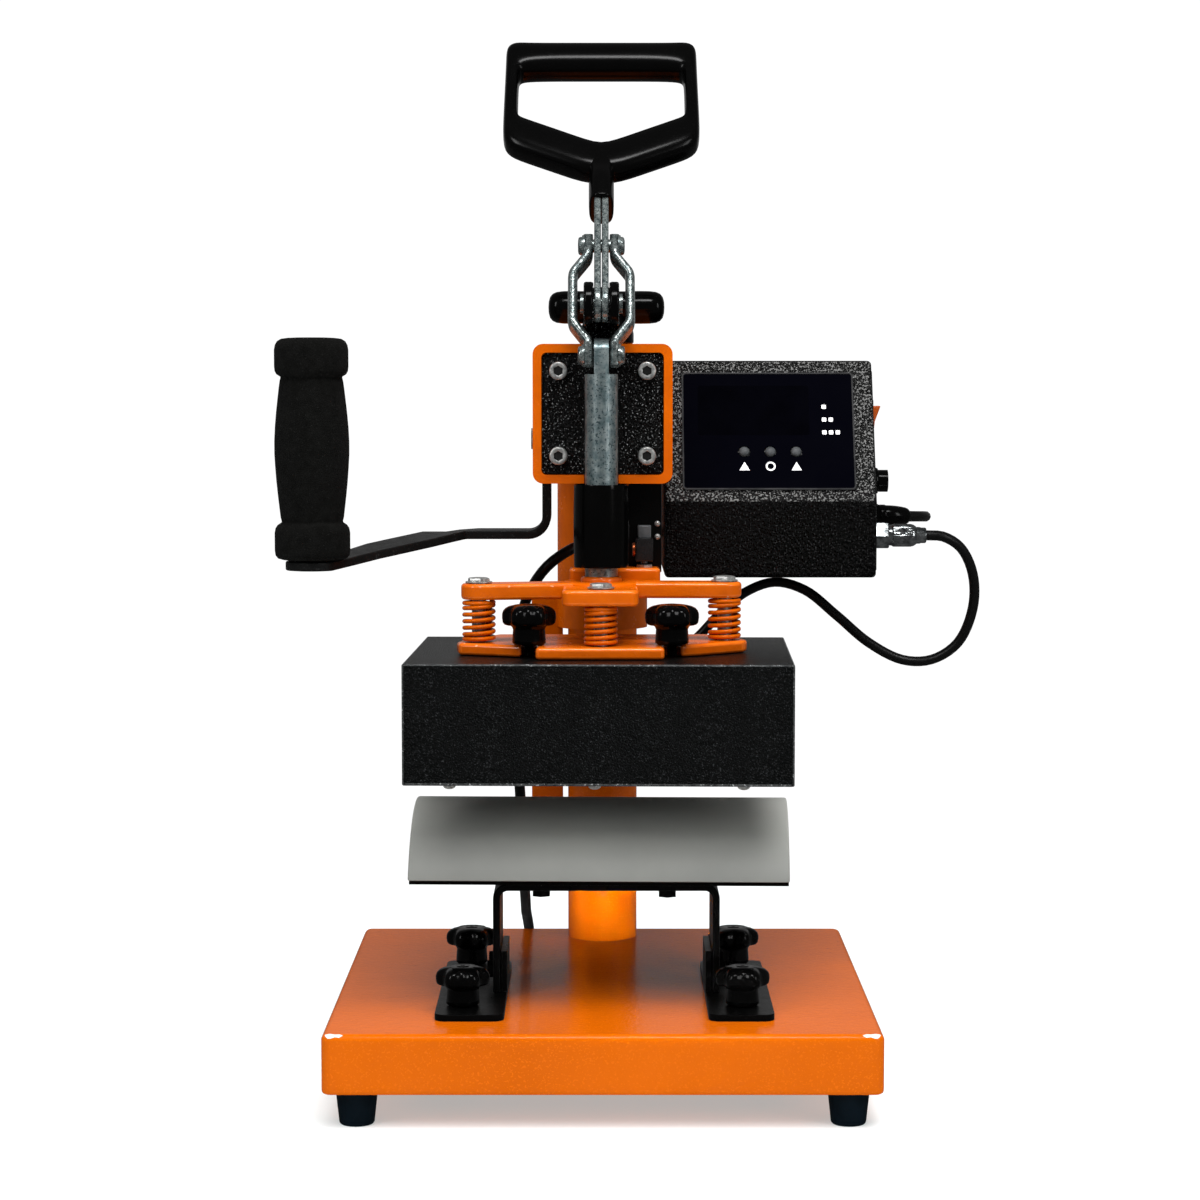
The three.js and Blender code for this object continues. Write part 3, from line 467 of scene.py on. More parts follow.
def round_corners(points, radius, n=6):
    """A polyline's inner corners turned into arcs."""
    p = [Vector(q) for q in points]
    out = [p[0]]
    for i in range(1, len(p) - 1):
        a, b, c = p[i - 1], p[i], p[i + 1]
        u, w = (a - b).normalized(), (c - b).normalized()
        half = u.angle(w) / 2
        d = min(radius / math.tan(half), (a - b).length * 0.49, (c - b).length * 0.49)
        r = d * math.tan(half)
        centre = b + (u + w).normalized() * (r / math.sin(half))
        e0, e1 = (b + u * d - centre), (b + w * d - centre)
        for k in range(n + 1):
            t = k / n
            ang = e0.angle(e1)
            q = (math.sin((1 - t) * ang) * e0 + math.sin(t * ang) * e1) / math.sin(ang)
            out.append(centre + q)
    out.append(p[-1])
    return out


# ------------------------------------------------------------------ cords
CORD_R = 3.25
UPPER = [(170.3, 225, 322), (175, 225.2, 321.9), (187, 230, 321.3), (195.5, 241, 320.7), (197, 254, 320), (191, 267.5, 319.3), (178, 277, 318.6), (158, 281, 317.5), (130, 281.8, 316), (90, 281.5, 313.5), (55, 278.5, 311.5),
         (30.8, 267.6, 309.5), (12, 243, 308.5), (-2, 222, 307.5), (-18, 209, 303), (-33, 207, 292.5), (-44.5, 214, 275), (-51, 226, 250), (-53, 234, 218), (-52, 238, 180),
         (-50, 241, 145), (-49, 248, 115), (-48.4, 258, 96), (-48.1, 269, 84), (-48, 279, 76.6), (-48, 284, 73.2)]
LOWER = [(-48, 289, 69.9), (-47.7, 303, 63.5), (-46.8, 320, 52), (-45.6, 334, 35), (-44.4, 344, 22), (-43.4, 356, 11), (-42.75, 371, 6.8)]
COIL = (0.0, 395.0)


def ease(t):
    t = min(max(t, 0.0), 1.0)
    return t * t * (3 - 2 * t)


def coil_point(turned):
    """Place on the coil after turning so many degrees clockwise from its left side: three turns on the floor, then two on them."""
    turn, a = int(turned // 360), turned % 360
    late = ease((a - 300) / 60)
    z0, z1 = 6.3, 12.1
    if turn == 0:
        r, z = 42.75 - 6.65 * late, z0
    elif turn == 1:
        r, z = 36.1 - 6.65 * late, z0
    elif turn == 2:
        r, z = 29.45 + 3.35 * late, z0 + (z1 - z0) * ease((a - 230) / 70) + 1.3 * math.sin(math.pi * min(max((a - 300) / 60, 0), 1))
    elif turn == 3:
        over = ease((a - 190) / 55)
        r = 32.8 + 6.6 * over
        z = z1 + 1.0 * math.sin(math.pi * min(max((a - 190) / 55, 0), 1)) + 1.0 * math.sin(math.pi * min(max((a - 300) / 60, 0), 1))
    else:
        r, z = 39.4, z1 + 0.1
    ang = math.radians(180 - turned)
    return (COIL[0] + r * math.cos(ang), COIL[1] + r * math.sin(ang), z)


coil_pts = [coil_point(d) for d in range(0, 1530 + 1, 9)]
tail = [(8, 434.9, 12.9), (16, 436.4, 13.7), (22, 437.5, 14.0), (26.6, 437.75, 14.0), (30, 437.75, 14.0)]
route = catmull(UPPER + LOWER, 6.0) + [np.array((-42.75, 383, 6.3))] + [np.array(q) for q in coil_pts] + [np.array(q) for q in catmull([coil_pts[-1]] + tail, 5.0)[1:]]
v, f = tube(route, CORD_R, 10)
cord = make("mains_cord", v, f, MAT["pvc"], None, ("mains_cord_upper", "mains_cord_lower", "mains_cord_coil"))

# plug: ribbed boot, moulded body, two blades
g = Geo()
prof = [(0.6, 26), (4.5, 26), (4.9, 27)]
for i in range(5):
    x = 30 + i * 5
    r = 4.9 + 0.33 * i
    prof += [(r, x), (r - 0.6, x + 0.6), (r - 0.6, x + 1.9), (r + 0.1, x + 2.5)]
prof += [(6.6, 56), (6.6, 58), (0.6, 58)]
g.add(*lathe(prof, 20), at(0, 437.75, 14) @ AXX)
rows = []
for x, w, h in ((55.5, 7.0, 7.0), (58, 9.2, 8.4), (63, 11.2, 9.8), (70, 12.0, 10.5), (82, 12.0, 10.5), (88, 11.6, 10.1), (91.4, 10.9, 9.4), (92, 10.2, 8.7)):
    ring = []
    for j in range(24):
        a = 2 * math.pi * j / 24
        ca, sa = math.cos(a), math.sin(a)
        k = (abs(ca) ** 4 + abs(sa) ** 4) ** -0.25
        ring.append((x, 437.75 + w * ca * k, 13.5 + h * sa * k))
    rows.append(ring)
g.add(*grid(rows))
plug = make("plug_body", g.v, g.f, MAT["pvc"], "base", "mains_plug", shade_angle=45)
g = Geo()
for s in (-1, 1):
    g.add(*prism(rrect(91, 108, 10.8, 17.2, 1.6, 3), 437.75 + s * 6.2 - 0.8, 437.75 + s * 6.2 + 0.8), Matrix(((1, 0, 0, 0), (0, 0, 1, 0), (0, 1, 0, 0), (0, 0, 0, 1))))
blades = make("plug_blades", g.v, g.f, MAT["brass"], "base", bevel=0.3)

# strain relief: tapered sleeve round the first stretch of the cord, on a flanged collar
g = Geo()
hexn = [(7.6 / math.cos(((a * 7.5 + 30) % 60 - 30) * math.pi / 180) * math.cos(math.radians(30)) * 1.06, a * 7.5) for a in range(48)]
g.add(*grid([[(r * kk * math.cos(math.radians(a)), r * kk * math.sin(math.radians(a)), x) for r, a in hexn] for x, kk in ((159.3, 0.93), (160.0, 1.0), (165.4, 1.0), (166.2, 0.93))]), at(0, 225, 322) @ AXX)
g.add(*lathe([(3.5, 166.0), (6.4, 166.0), (6.6, 166.8), (6.6, 169.6), (6.3, 170.4), (3.5, 170.4)], 32), at(0, 225, 322) @ AXX)
first = catmull(UPPER[:5], 1.0)
part, s = [], 0.0
for i, q in enumerate(first):
    if i:
        s += np.linalg.norm(q - first[i - 1])
    if s > 15:
        break
    part.append(q)


def relief(s, whole):
    return 6.2 - 1.5 * (s / whole) ** 2.2 - (1.0 * max(s / whole - 0.9, 0) * 10)


g.add(*tube(part, relief, 20))
gland = make("strain_relief", g.v, g.f, MAT["gloss"], "swing_head", "cord_gland", shade_angle=50)

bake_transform(cord)

CABLE = [(190.3, 180, 312.5), (200, 180.5, 311.8), (211, 184, 305), (219, 190, 289), (220, 197, 268), (212, 203, 247), (197, 208, 236.5), (180, 212, 236),
         (160, 216, 246), (141, 221, 262), (122, 226, 277), (104, 229, 281.5), (86, 230, 275), (71, 231, 262), (58, 232, 248), (46, 231, 238), (39, 226, 233.5), (38.2, 221.6, 232.6)]
cab = catmull(CABLE, 4.0)
v, f = tube(cab, 3.0, 12)
cable = make("heater_cable_run", v, f, MAT["pvc"], None, "heater_cable")
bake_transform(cable)

# ------------------------------------------------------------------ star knobs
def lobed(R, depth):
    def k(a, r, z):
        full = R - depth * (0.5 - 0.5 * math.cos(6 * a)) ** 1.3
        share = min(max((r / R - 0.45) / 0.4, 0.0), 1.0)
        return 1.0 + (full / R - 1.0) * share
    return k


def star_knob(name, x, y, z0, zh, z1, zs, hub):
    g = Geo()
    h = z1 - zh
    prof = [(0.2, z1 - 0.4), (4.0, z1 - 0.5), (5.0, z1 - 0.2), (8.0, z1 - 0.5), (11.0, z1 - 1.2), (13.0, z1 - 2.2), (14.3, z1 - 3.6), (14.95, z1 - 5.4),
            (15.0, zh + h * 0.35), (14.6, zh + 1.6), (13.6, zh + 0.5), (12.0, zh), (0.2, zh)]
    g.add(*lathe(list(reversed(prof)), 96, lobed(15.0, 2.9)))
    g.add(*lathe([(0.2, z0), (hub - 1.2, z0), (hub, z0 + 1.2), (hub - 0.1, z0 + 3), (hub - 0.5, zh - 2.2), (hub + 0.1, zh - 0.8), (hub + 1.4, zh + 0.5), (0.2, zh + 0.6)], 48))
    stud = []
    z = zs
    while z < z0 + 0.4:
        stud += [(3.0, z), (2.65, z + 0.45)]
        z += 0.9
    g.add(*lathe([(0.2, zs)] + stud + [(2.9, z0 + 0.5), (0.2, z0 + 0.5)], 16))
    o = make(name + "_moulded", g.v, g.f, MAT["gloss"], NODE_BODY[name], name, M=at(x, y, 0), shade_angle=50)
    g = Geo()
    g.add(*lathe([(0.2, z1 - 0.9), (3.3, z1 - 0.9), (3.3, z1 - 0.2), (3.0, z1), (1.3, z1), (1.1, z1 - 0.3), (0.2, z1 - 0.3)], 24))
    make(name + "_stud_end", g.v, g.f, MAT["gloss"], NODE_BODY[name], M=at(x, y, 0), shade_angle=50)
    return o


for nm, x, y in (("rail_knob_front_left", -77.4, 58.6), ("rail_knob_front_right", 77.4, 58.6), ("rail_knob_rear_left", -77.4, 176), ("rail_knob_rear_right", 77.4, 176)):
    star_knob(nm, x, y, 59.1, 70, 81, 40, 9.3)
for nm, x in (("heater_knob_left", -40.9), ("heater_knob_right", 38.5)):
    star_knob(nm, x, 79.5, 257.3, 268, 280, 251.5, 9.4)

# ------------------------------------------------------------------ springs: smooth round wire, closed ends
for nm, x, y, zt in (("spring_left", -69.5, 100, 281), ("spring_right", 69, 114, 281), ("spring_front", -1, 76, 279.5)):
    z0, z1, pts = 257.3 + 1.35, zt - 0.3 - 1.35, []
    turns, per = 7.0, 32
    for i in range(int(turns * per) + 1):
        t = i / (turns * per)
        k = (turns * t)
        if k < 1:
            rise = 0.30 * k * k
        elif k > turns - 1:
            q = turns - k
            rise = (turns - 2) * 1.0 + 0.6 - 0.30 * q * q
        else:
            rise = 0.30 + (k - 1) * ((turns - 2) * 1.0 + 0.0) / (turns - 2)
        rise /= (turns - 2) + 0.6
        a = 2 * math.pi * k + 0.6
        pts.append((x + 8.2 * math.cos(a), y + 8.2 * math.sin(a), z0 + (z1 - z0) * rise))
    v, f = tube(pts, 1.25, 10)
    o = make(nm + "_coil", v, f, MAT["orange_gloss"], "press_slide", nm, shade_angle=60)
    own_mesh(o)

# ------------------------------------------------------------------ D handle on the lever
g = Geo()
N = 96
STATIONS = [((0, 199), (0, 175.4), 10.4, 2.3), ((14, 199), (14, 175.4), 10.4, 2.3), ((28, 199), (28, 175.4), 10.4, 2.3), ((40, 199), (40, 175.2), 10.2, 2.4),
            ((47, 199), (45.0, 174.9), 9.9, 2.7), ((51, 198.8), (47.0, 174.4), 9.7, 3.0), ((54, 197.5), (48.2, 173.4), 9.5, 3.2), ((56.0, 195.2), (48.8, 171.6), 9.3, 3.4),
            ((56.8, 191.5), (49.0, 169.2), 9.1, 3.6), ((56.9, 186), (49.1, 165.5), 9.0, 3.6),
            ((57.0, 176), (49.2, 160), 8.7, 3.6), ((57.3, 160), (49.2, 152), 8.6, 3.6), ((57.6, 144), (49.2, 146), 8.6, 3.6),
            ((57.8, 130), (49.0, 142.2), 8.6, 3.6), ((57.4, 122.5), (48.6, 140.4), 8.7, 3.5), ((55.6, 117.6), (47.6, 139.0), 8.8, 3.4), ((51.5, 113.8), (45.0, 137.6), 8.9, 3.4),
            ((44, 110.2), (39.5, 135.0), 9.0, 3.4), ((33, 105.2), (29.5, 130.4), 9.0, 3.4), ((22, 100.2), (19.0, 125.5), 9.0, 3.4), ((12, 95.7), (9.0, 120.8), 9.0, 3.4), ((0, 93.5), (0, 117.4), 9.0, 3.4)]
rights = []
for (ox, ow), (ix, iw), deep, ex in STATIONS:
    cx, cw = (ox + ix) / 2, (ow + iw) / 2
    hx, hw = (ix - ox) / 2, (iw - ow) / 2
    ring = []
    for j in range(28):
        a = 2 * math.pi * j / 28
        ca, sa = math.cos(a), math.sin(a)
        k = (abs(ca) ** ex + abs(sa) ** ex) ** (-1 / ex)
        ring.append((cx + hx * ca * k, deep * sa * k, cw + hw * ca * k))
    rights.append(ring)
lefts = [[(-x, y, z) for x, y, z in ring] for ring in rights[-2:0:-1]]
v, f = grid(rights + lefts, close_u=True)
g.add(v, f)
rows = []
for w, hx, hy in ((70, 6.4, 12.4), (70.6, 7.0, 13.0), (72, 7.3, 13.3), (86, 7.3, 13.0), (91, 7.3, 12.0), (96, 7.3, 10.2), (101, 7.3, 9.5), (108, 7.3, 9.2), (112, 6.6, 8.8)):
    ring = []
    for j in range(24):
        a = 2 * math.pi * j / 24
        ca, sa = math.cos(a), math.sin(a)
        k = (abs(ca) ** 3.6 + abs(sa) ** 3.6) ** (-1 / 3.6)
        ring.append((hx * ca * k, hy * sa * k, w))
    rows.append(ring)
v, f = grid(rows)
g.add(v, f)
d = make("d_handle_moulded", g.v, g.f, MAT["handle"], "lever", "d_handle", M=M_LEVER, shade_angle=60)
sub = d.modifiers.new("smooth_form", "SUBSURF")
sub.levels = sub.render_levels = 1
d.modifiers.move(len(d.modifiers) - 1, 0)

# ------------------------------------------------------------------ lever: two plates side by side
def plate(x0, x1, length, r, holes, cx=0.0):
    """Flat bar with round ends along z, each edge softened. Its holes argument is not used."""
    n = 14
    out = [(r * math.cos(math.radians(180 + 180 * i / n)), r * math.sin(math.radians(180 + 180 * i / n))) for i in range(n + 1)]
    out += [(r * math.cos(math.radians(180 * i / n)), length + r * math.sin(math.radians(180 * i / n))) for i in range(n + 1)]
    return prism(out, x0, x1, Matrix.Identity(4))


YZX = Matrix(((0, 0, 1, 0), (1, 0, 0, 0), (0, 1, 0, 0), (0, 0, 0, 1)))      # outline (y, z) raised along x
g = Geo()
for x0, x1 in ((-4.1, -0.25), (0.25, 4.1)):
    v, f = plate(x0, x1, 81.5, 10.5, ())
    g.add(v, f, YZX)
lever = make("lever_plate_pair", g.v, g.f, MAT["zinc"], "lever", "lever_plates", M=M_LEVER, bevel=0.9, segs=3, angle=50)

# ------------------------------------------------------------------ toggle links: bowed flat bars, rivets and washers
for nm, s_ in (("link_left", -1), ("link_right", 1)):
    line = round_corners([(7.5, 0, -6.6), (7.5, 0, 7.2), (16.3, 0, 19.0), (16.3, 0, 49.0), (7.5, 0, 60.6), (7.5, 0, 74.4)], 7.0, 7)
    rows = []
    n = len(line)
    for i, q in enumerate(line):
        t = (line[min(i + 1, n - 1)] - line[max(i - 1, 0)]).normalized()
        nn = Vector((t.z, 0, -t.x))
        w = q.z
        edge = min(w + 7.0, 74.73 - w)
        half_y = 7.0 if edge > 7 else math.sqrt(max(49.0 - (7.0 - edge) ** 2, 0.2))
        half_x = 2.75
        ring = []
        for j in range(20):
            a = 2 * math.pi * j / 20
            ca, sa = math.cos(a), math.sin(a)
            k = (abs(ca) ** 3.2 + abs(sa) ** 4.2) ** (-1 / 3.7)
            ring.append((s_ * (q.x + nn.x * half_x * ca * k), half_y * sa * k, q.z + nn.z * half_x * ca * k))
        rows.append(ring)
    g = Geo()
    g.add(*grid(rows))
    for w in (0.0, 67.73):
        g.add(*lathe([(0.3, 9.6), (6.2, 9.6), (6.2, 10.9), (5.2, 11.2), (5.2, 12.2), (4.6, 13.0), (3.0, 13.35), (0.3, 13.4)], 32), at(0, 0, w) @ (AXX if s_ > 0 else at(0, 0, 0, rz=math.pi) @ AXX))
    make(nm + "_forged", g.v, g.f, MAT["zinc"], "links", nm if s_ < 0 else (nm, "upper_link_pin"), M=M_LINKS, shade_angle=45)
g = Geo()
g.add(*lathe([(0.3, -13.2), (3.8, -13.2), (3.8, 13.2), (0.3, 13.2)], 28), at(0, 0, 67.73) @ AXX)
make("link_pin_shaft", g.v, g.f, MAT["zinc"], "links", M=M_LINKS)

# ------------------------------------------------------------------ T knob
g = Geo()
bar = [(0.3, -35), (3.5, -34.8), (6.3, -34.0), (8.2, -32.4), (9.3, -30), (9.8, -26), (9.9, -20), (9.7, -10), (9.7, 10), (9.9, 20), (9.8, 26), (9.3, 30), (8.2, 32.4), (6.3, 34.0), (3.5, 34.8), (0.3, 35)]
g.add(*lathe(bar, 40), at(0, 0, 447) @ AXX)
g.add(*lathe([(0.3, 402), (4.4, 402), (5, 403), (5, 424.9), (15.4, 424.9), (16.5, 426), (16.5, 431), (16.0, 433.5), (14.6, 436.5), (13.2, 440), (12.6, 444), (12.2, 449), (10.5, 453), (0.3, 454)], 48))
make("t_knob_moulded", g.v, g.f, MAT["gloss"], "t_knob" if "t_knob" in frame["bodies"] else NODE_BODY["t_knob"], "t_knob", M=at(2.4, 238, 0), shade_angle=50)

# ------------------------------------------------------------------ foam grip
prof = [(8.0, 304.6), (16.8, 304.6), (19.2, 305.3), (20.5, 307.0), (20.9, 309.6), (20.9, 319.4), (20.4, 322.0), (19.2, 323.8), (17.8, 324.7), (17.0, 325.3), (17.0, 326.0), (17.5, 328.0), (18.1, 333), (18.9, 340),
        (19.7, 348), (20.3, 356), (20.7, 363), (20.7, 370), (20.3, 378), (19.6, 386), (18.7, 394), (18.0, 400), (17.5, 403.4), (17.1, 405.0), (17.1, 405.7), (17.9, 406.2), (19.3, 407.1), (20.2, 408.8),
        (20.5, 411.4), (20.5, 420.4), (20.0, 423.2), (18.8, 425.3), (16.6, 426.6), (13, 427.1), (8, 427.3), (0.3, 427.2)]
v, f = lathe(prof, 72)
grip = make("foam_grip_sleeve", v, f, MAT["foam"], "swing_head", "foam_grip", M=at(-161, 82, 0), shade_angle=60)

# ------------------------------------------------------------------ side handle bar: folded flat bar, rod and disc
def drop(x):
    return 0.165 * min(max(-80 - x, 0.0), 54.0) + 2.9 * ease((-134 - x) / 11)


stations = []        # (front edge point, rear edge point, normal)
for z in (384, 372, 360, 345, 335, 323.6):
    stations.append(((-32.8, 175, z), (-32.8, 205, z), (1, 0, 0)))
for i in range(1, 9):
    a = math.radians(90 * i / 8)
    x, z = -43.4 + 10.6 * math.cos(a), 323.6 - 10.6 * math.sin(a)
    stations.append(((x, 175, z), (x, 205, z), (math.cos(a), 0, -math.sin(a))))
edge_front = [(-52, 175), (-62, 175), (-72, 175), (-80, 175), (-86, 167.4), (-98, 152.2), (-112, 134.4), (-126, 116.7), (-140, 98.9)]
edge_rear = [(-52, 205), (-62, 205), (-74, 205), (-85, 205), (-93, 199), (-106, 184.6), (-121, 163.7), (-136, 142.7), (-152, 120.4)]
a0, a1 = 2.5, 5.64
tip = []
for i in range(9):
    ta = a0 + (a0 + math.pi * 0 + (a1 - a0) / 2 - a0) * i / 8
    tb = a1 - (a1 - a0) / 2 * i / 8
    tip.append(((-161 + 15 * math.cos(tb), 82 + 15 * math.sin(tb)), (-161 + 15 * math.cos(ta), 82 + 15 * math.sin(ta))))
edges = list(zip(edge_front, edge_rear)) + tip[:-1]
for ef, er in edges:
    twist = ease((-82 - ef[0]) / 18) * (1 - ease((-134 - ef[0]) / 12))
    stations.append(((ef[0], ef[1], 313 - drop(ef[0]) - 0.4 * twist), (er[0], er[1], 313 - drop(er[0]) + 3.6 * twist), (0, -0.16 * twist, -1)))
rows = []
for A, B, nrm in stations:
    A, B, n_ = Vector(A), Vector(B), Vector(nrm) * 2.5
    rows.append([tuple(A + n_), tuple(B + n_), tuple(B - n_), tuple(A - n_)])
g = Geo()
g.add(*grid(rows))
g.add(*lathe([(0.3, 303), (7.5, 303), (7.5, 419), (0.3, 419)], 32), at(-161, 82, 0))
g.add(*lathe([(0.3, 298.9), (11.8, 298.9), (13, 299.8), (13, 303.2), (12.2, 304), (0.3, 304)], 48), at(-161, 82, 0))
make("side_handle_folded", g.v, g.f, MAT["black_satin"], "swing_head", "side_handle_bar", bevel=0.9, segs=3, angle=50)

# ------------------------------------------------------------------ U bracket: one folded strip
path = round_corners([(-59.8, 0, 59.2), (-59.8, 0, 119), (64, 0, 119), (64, 0, 59.2)], 6.5, 8)
rows = []
n = len(path)
for i in range(n):
    t = (path[min(i + 1, n - 1)] - path[max(i - 1, 0)]).normalized()
    nn = Vector((-t.z, 0, t.x)) * 2.0
    q = path[i]
    rows.append([(q.x + nn.x, 90, q.z + nn.z), (q.x + nn.x, 145, q.z + nn.z), (q.x - nn.x, 145, q.z - nn.z), (q.x - nn.x, 90, q.z - nn.z)])
v, f = grid(rows)
make("platen_bracket_folded", v, f, MAT["black_flat"], "base", "platen_bracket", bevel=0.7, segs=3, angle=50)

# ------------------------------------------------------------------ float plate with its guide bolts
outline = [(-37, 62), (34, 62), (34.4, 84), (36.5, 87.4), (40.5, 87.4), (42.6, 84), (43.5, 80), (54.8, 86), (80, 107), (82, 112), (78, 128), (60, 150), (-60, 150),
           (-79, 118), (-82, 100), (-80.5, 91), (-45, 77), (-45, 84), (-43, 87.4), (-39, 87.4), (-36.8, 84)]
v, f = prism(outline, 250.3, 257)
# its bevel faces take the lighter orange edge finish: painted edge highlight
make("float_plate_sheet", v, f, MAT["orange_gloss"], "press_head", "float_plate", bevel=2.4, segs=5, angle=20, shade_angle=50, edge=MAT["edge_orange"])
for nm, x, y, zt in (("left", -69.5, 100, 290.3), ("right", 69, 114, 290.3), ("front", -1, 76, 288.8)):
    g = Geo()
    hexr = [((5.6 / math.cos(((a * 7.5 + 30) % 60 - 30) * math.pi / 180)), math.radians(a * 7.5 + 12)) for a in range(48)]
    rows = [[(r * k_ * math.cos(a), r * k_ * math.sin(a), zt + dz) for r, a in hexr] for k_, dz in ((0.96, 0.7), (1.0, 0.85), (1.0, 2.2), (0.93, 2.75), (0.7, 3.0), (0.3, 3.05))]
    g.add(*grid(rows))
    g.add(*lathe([(0.3, zt), (7.3, zt), (7.6, zt + 0.2), (7.6, zt + 0.6), (7.3, zt + 0.8), (0.3, zt + 0.8)], 40))
    g.add(*lathe([(0.3, 256), (4.0, 256), (4.0, zt + 1), (0.3, zt + 1)], 24))
    make("guide_bolt_" + nm, g.v, g.f, MAT["screw"], "press_head", M=at(x, y, 0), shade_angle=40)

# ------------------------------------------------------------------ spider: three arms cut from plate, hub and step
def capsule(ax, ay, bx, by, r, n=12):
    a0 = math.atan2(by - ay, bx - ax)
    pts = [(bx + r * math.cos(a0 - math.pi / 2 + math.pi * i / n), by + r * math.sin(a0 - math.pi / 2 + math.pi * i / n)) for i in range(n + 1)]
    return pts + [(ax + r * math.cos(a0 + math.pi / 2 + math.pi * i / n), ay + r * math.sin(a0 + math.pi / 2 + math.pi * i / n)) for i in range(n + 1)]


# the arms' bevel faces take the lighter orange edge finish: painted edge highlight
for nm, v_f in (("spider_arm_left", prism(capsule(-69.5, 100, -0.7, 114, 10), 281, 290)), ("spider_arm_right", prism(capsule(-0.7, 116, 69, 114, 9.6), 281.02, 289.98)),
                ("spider_arm_front", prism(rrect(-22.5, 20, 65, 120, 5, 6), 279.5, 288.5)), ("spider_step", prism(rrect(-19, 33, 129, 146.5, 3, 4), 281, 296.5))):
    make(nm, v_f[0], v_f[1], MAT["orange_gloss"], "press_slide", "spider" if nm == "spider_arm_front" else (), bevel=2.0, segs=4, angle=30, shade_angle=50, edge=MAT["edge_orange"])
g = Geo()
g.add(*lathe([(9.7, 281.2), (21.5, 281.2), (22.6, 281.8), (23, 283), (23, 288.2), (22.4, 289.4), (21, 290.05), (9.7, 290.05)], 56))
make("spider_hub", g.v, g.f, MAT["orange_gloss"], "press_slide", M=at(AX, AY, 0), shade_angle=50)
g = Geo()
g.add(*lathe([(6.0, 288), (10.6, 288), (11.6, 289), (12.0, 291.2), (11.2, 292.6), (9.9, 293.0), (6.0, 293.0)], 48))
# the weld ring is in the lighter orange edge finish with pale specks: painted highlight and glints
make("hub_weld", g.v, g.f, MAT["edge_orange"], "press_slide", M=at(AX, AY, 0), shade_angle=50)
g = Geo()
rows = [[((4.4 / math.cos(((a * 7.5 + 30) % 60 - 30) * math.pi / 180)) * k_ * math.cos(math.radians(a * 7.5)), (4.4 / math.cos(((a * 7.5 + 30) % 60 - 30) * math.pi / 180)) * k_ * math.sin(math.radians(a * 7.5)), z)
         for a in range(48)] for k_, z in ((0.98, 296.4), (1.0, 296.6), (1.0, 297.7), (0.9, 298.1))]
g.add(*grid(rows))
make("trip_bolt_head", g.v, g.f, MAT["screw"], "press_slide", M=at(24, 141, 0), shade_angle=40)

# ------------------------------------------------------------------ socket screws of the clamp bracket
k = 1
for z in (408.9, 360.4):
    for x in (-25.3, 25.3):
        g = Geo()
        n = 48
        R = 5.2
        prof = [(2.9, 133.6), (3.1, 133.25), (4.4, 133.2), (4.9, 133.45), (5.2, 133.95), (5.2, 138.7), (0.3, 138.7)]
        rows = []
        for dep, rr in ((136.2, 2.55), (133.5, 2.55)):
            rows.append([((rr / math.cos(((a * 7.5 + 30) % 60 - 30) * math.pi / 180)) * math.cos(math.radians(a * 7.5)),
                          (rr / math.cos(((a * 7.5 + 30) % 60 - 30) * math.pi / 180)) * math.sin(math.radians(a * 7.5)), dep) for a in range(n)])
        for r, y in prof[1:]:
            rows.append([(r * math.cos(math.radians(a * 7.5)), r * math.sin(math.radians(a * 7.5)), y) for a in range(n)])
        v, f = grid(rows)
        g.add(v, f, at(x, 0, z) @ AXY)
        g.add(*lathe([(0.3, 138), (3, 138), (3, 155), (0.3, 155)], 16), at(x, 0, z) @ AXY)
        make("socket_screw_%d" % k, g.v, g.f, MAT["screw"], "swing_head", "bracket_screw_%d" % k, shade_angle=40)
        # a dark hex plug in each socket: painted shade in the socket's hollow
        g = Geo()
        rows = [[((2.5 / math.cos(((a * 7.5 + 30) % 60 - 30) * math.pi / 180)) * math.cos(math.radians(a * 7.5)), (2.5 / math.cos(((a * 7.5 + 30) % 60 - 30) * math.pi / 180)) * math.sin(math.radians(a * 7.5)), y)
                 for a in range(n)] for y in (134.1, 136.1)]
        g.add(*grid(rows), at(x, 0, z) @ AXY)
        make("socket_recess_%d" % k, g.v, g.f, MAT["recess"], "swing_head", shade_angle=40)
        k += 1

# ------------------------------------------------------------------ guide sleeve's moulded jacket and the web that joins the pivot ears
g = Geo()
prof = [(15.05, 299.2), (15.1, 298.4), (15.3, 298.1), (15.45, 298.6), (15.5, 300), (15.55, 305), (15.7, 313), (15.8, 321), (15.7, 330), (15.55, 338), (15.5, 342), (15.45, 344.2), (15.3, 345.0), (15.1, 344.9), (15.05, 344.0)]
rows = []
for r, z in prof:
    ring = []
    for j in range(56):
        a = 2 * math.pi * j / 56
        ca, sa = math.cos(a), math.sin(a)
        ring.append((r * ca, r * sa, z))
    rows.append(ring)
g.add(*grid(rows, close_u=True))
make("guide_sleeve_jacket", g.v, g.f, MAT["gloss"], "swing_head", M=at(AX, AY, 0), shade_angle=60)
g = Geo()
out = [(-9.9, 424), (8.5, 424), (8.5, 449), (7.0, 454.0), (3.6, 456.6), (-5.0, 456.6), (-8.4, 454.0), (-9.9, 449)]
g.add(*prism(out, 140.2, 144.6), Matrix(((1, 0, 0, 0), (0, 0, 1, 0), (0, 1, 0, 0), (0, 0, 0, 1))))
make("yoke_web", g.v, g.f, MAT["gloss"], "swing_head", bevel=1.2, segs=3, angle=25)
for nm, x0, x1 in (("ear_boss_left", -10.7, -5.3), ("ear_boss_right", 3.9, 9.3)):
    g = Geo()
    g.add(*lathe([(6.0, x0), (11.2, x0), (12.1, x0 + 0.5), (12.35, x0 + 1.3), (12.35, x1 - 1.3), (12.1, x1 - 0.5), (11.2, x1), (6.0, x1)], 48), at(0, AY, 446.6) @ AXX)
    make(nm, g.v, g.f, MAT["gloss"], "swing_head", shade_angle=50)

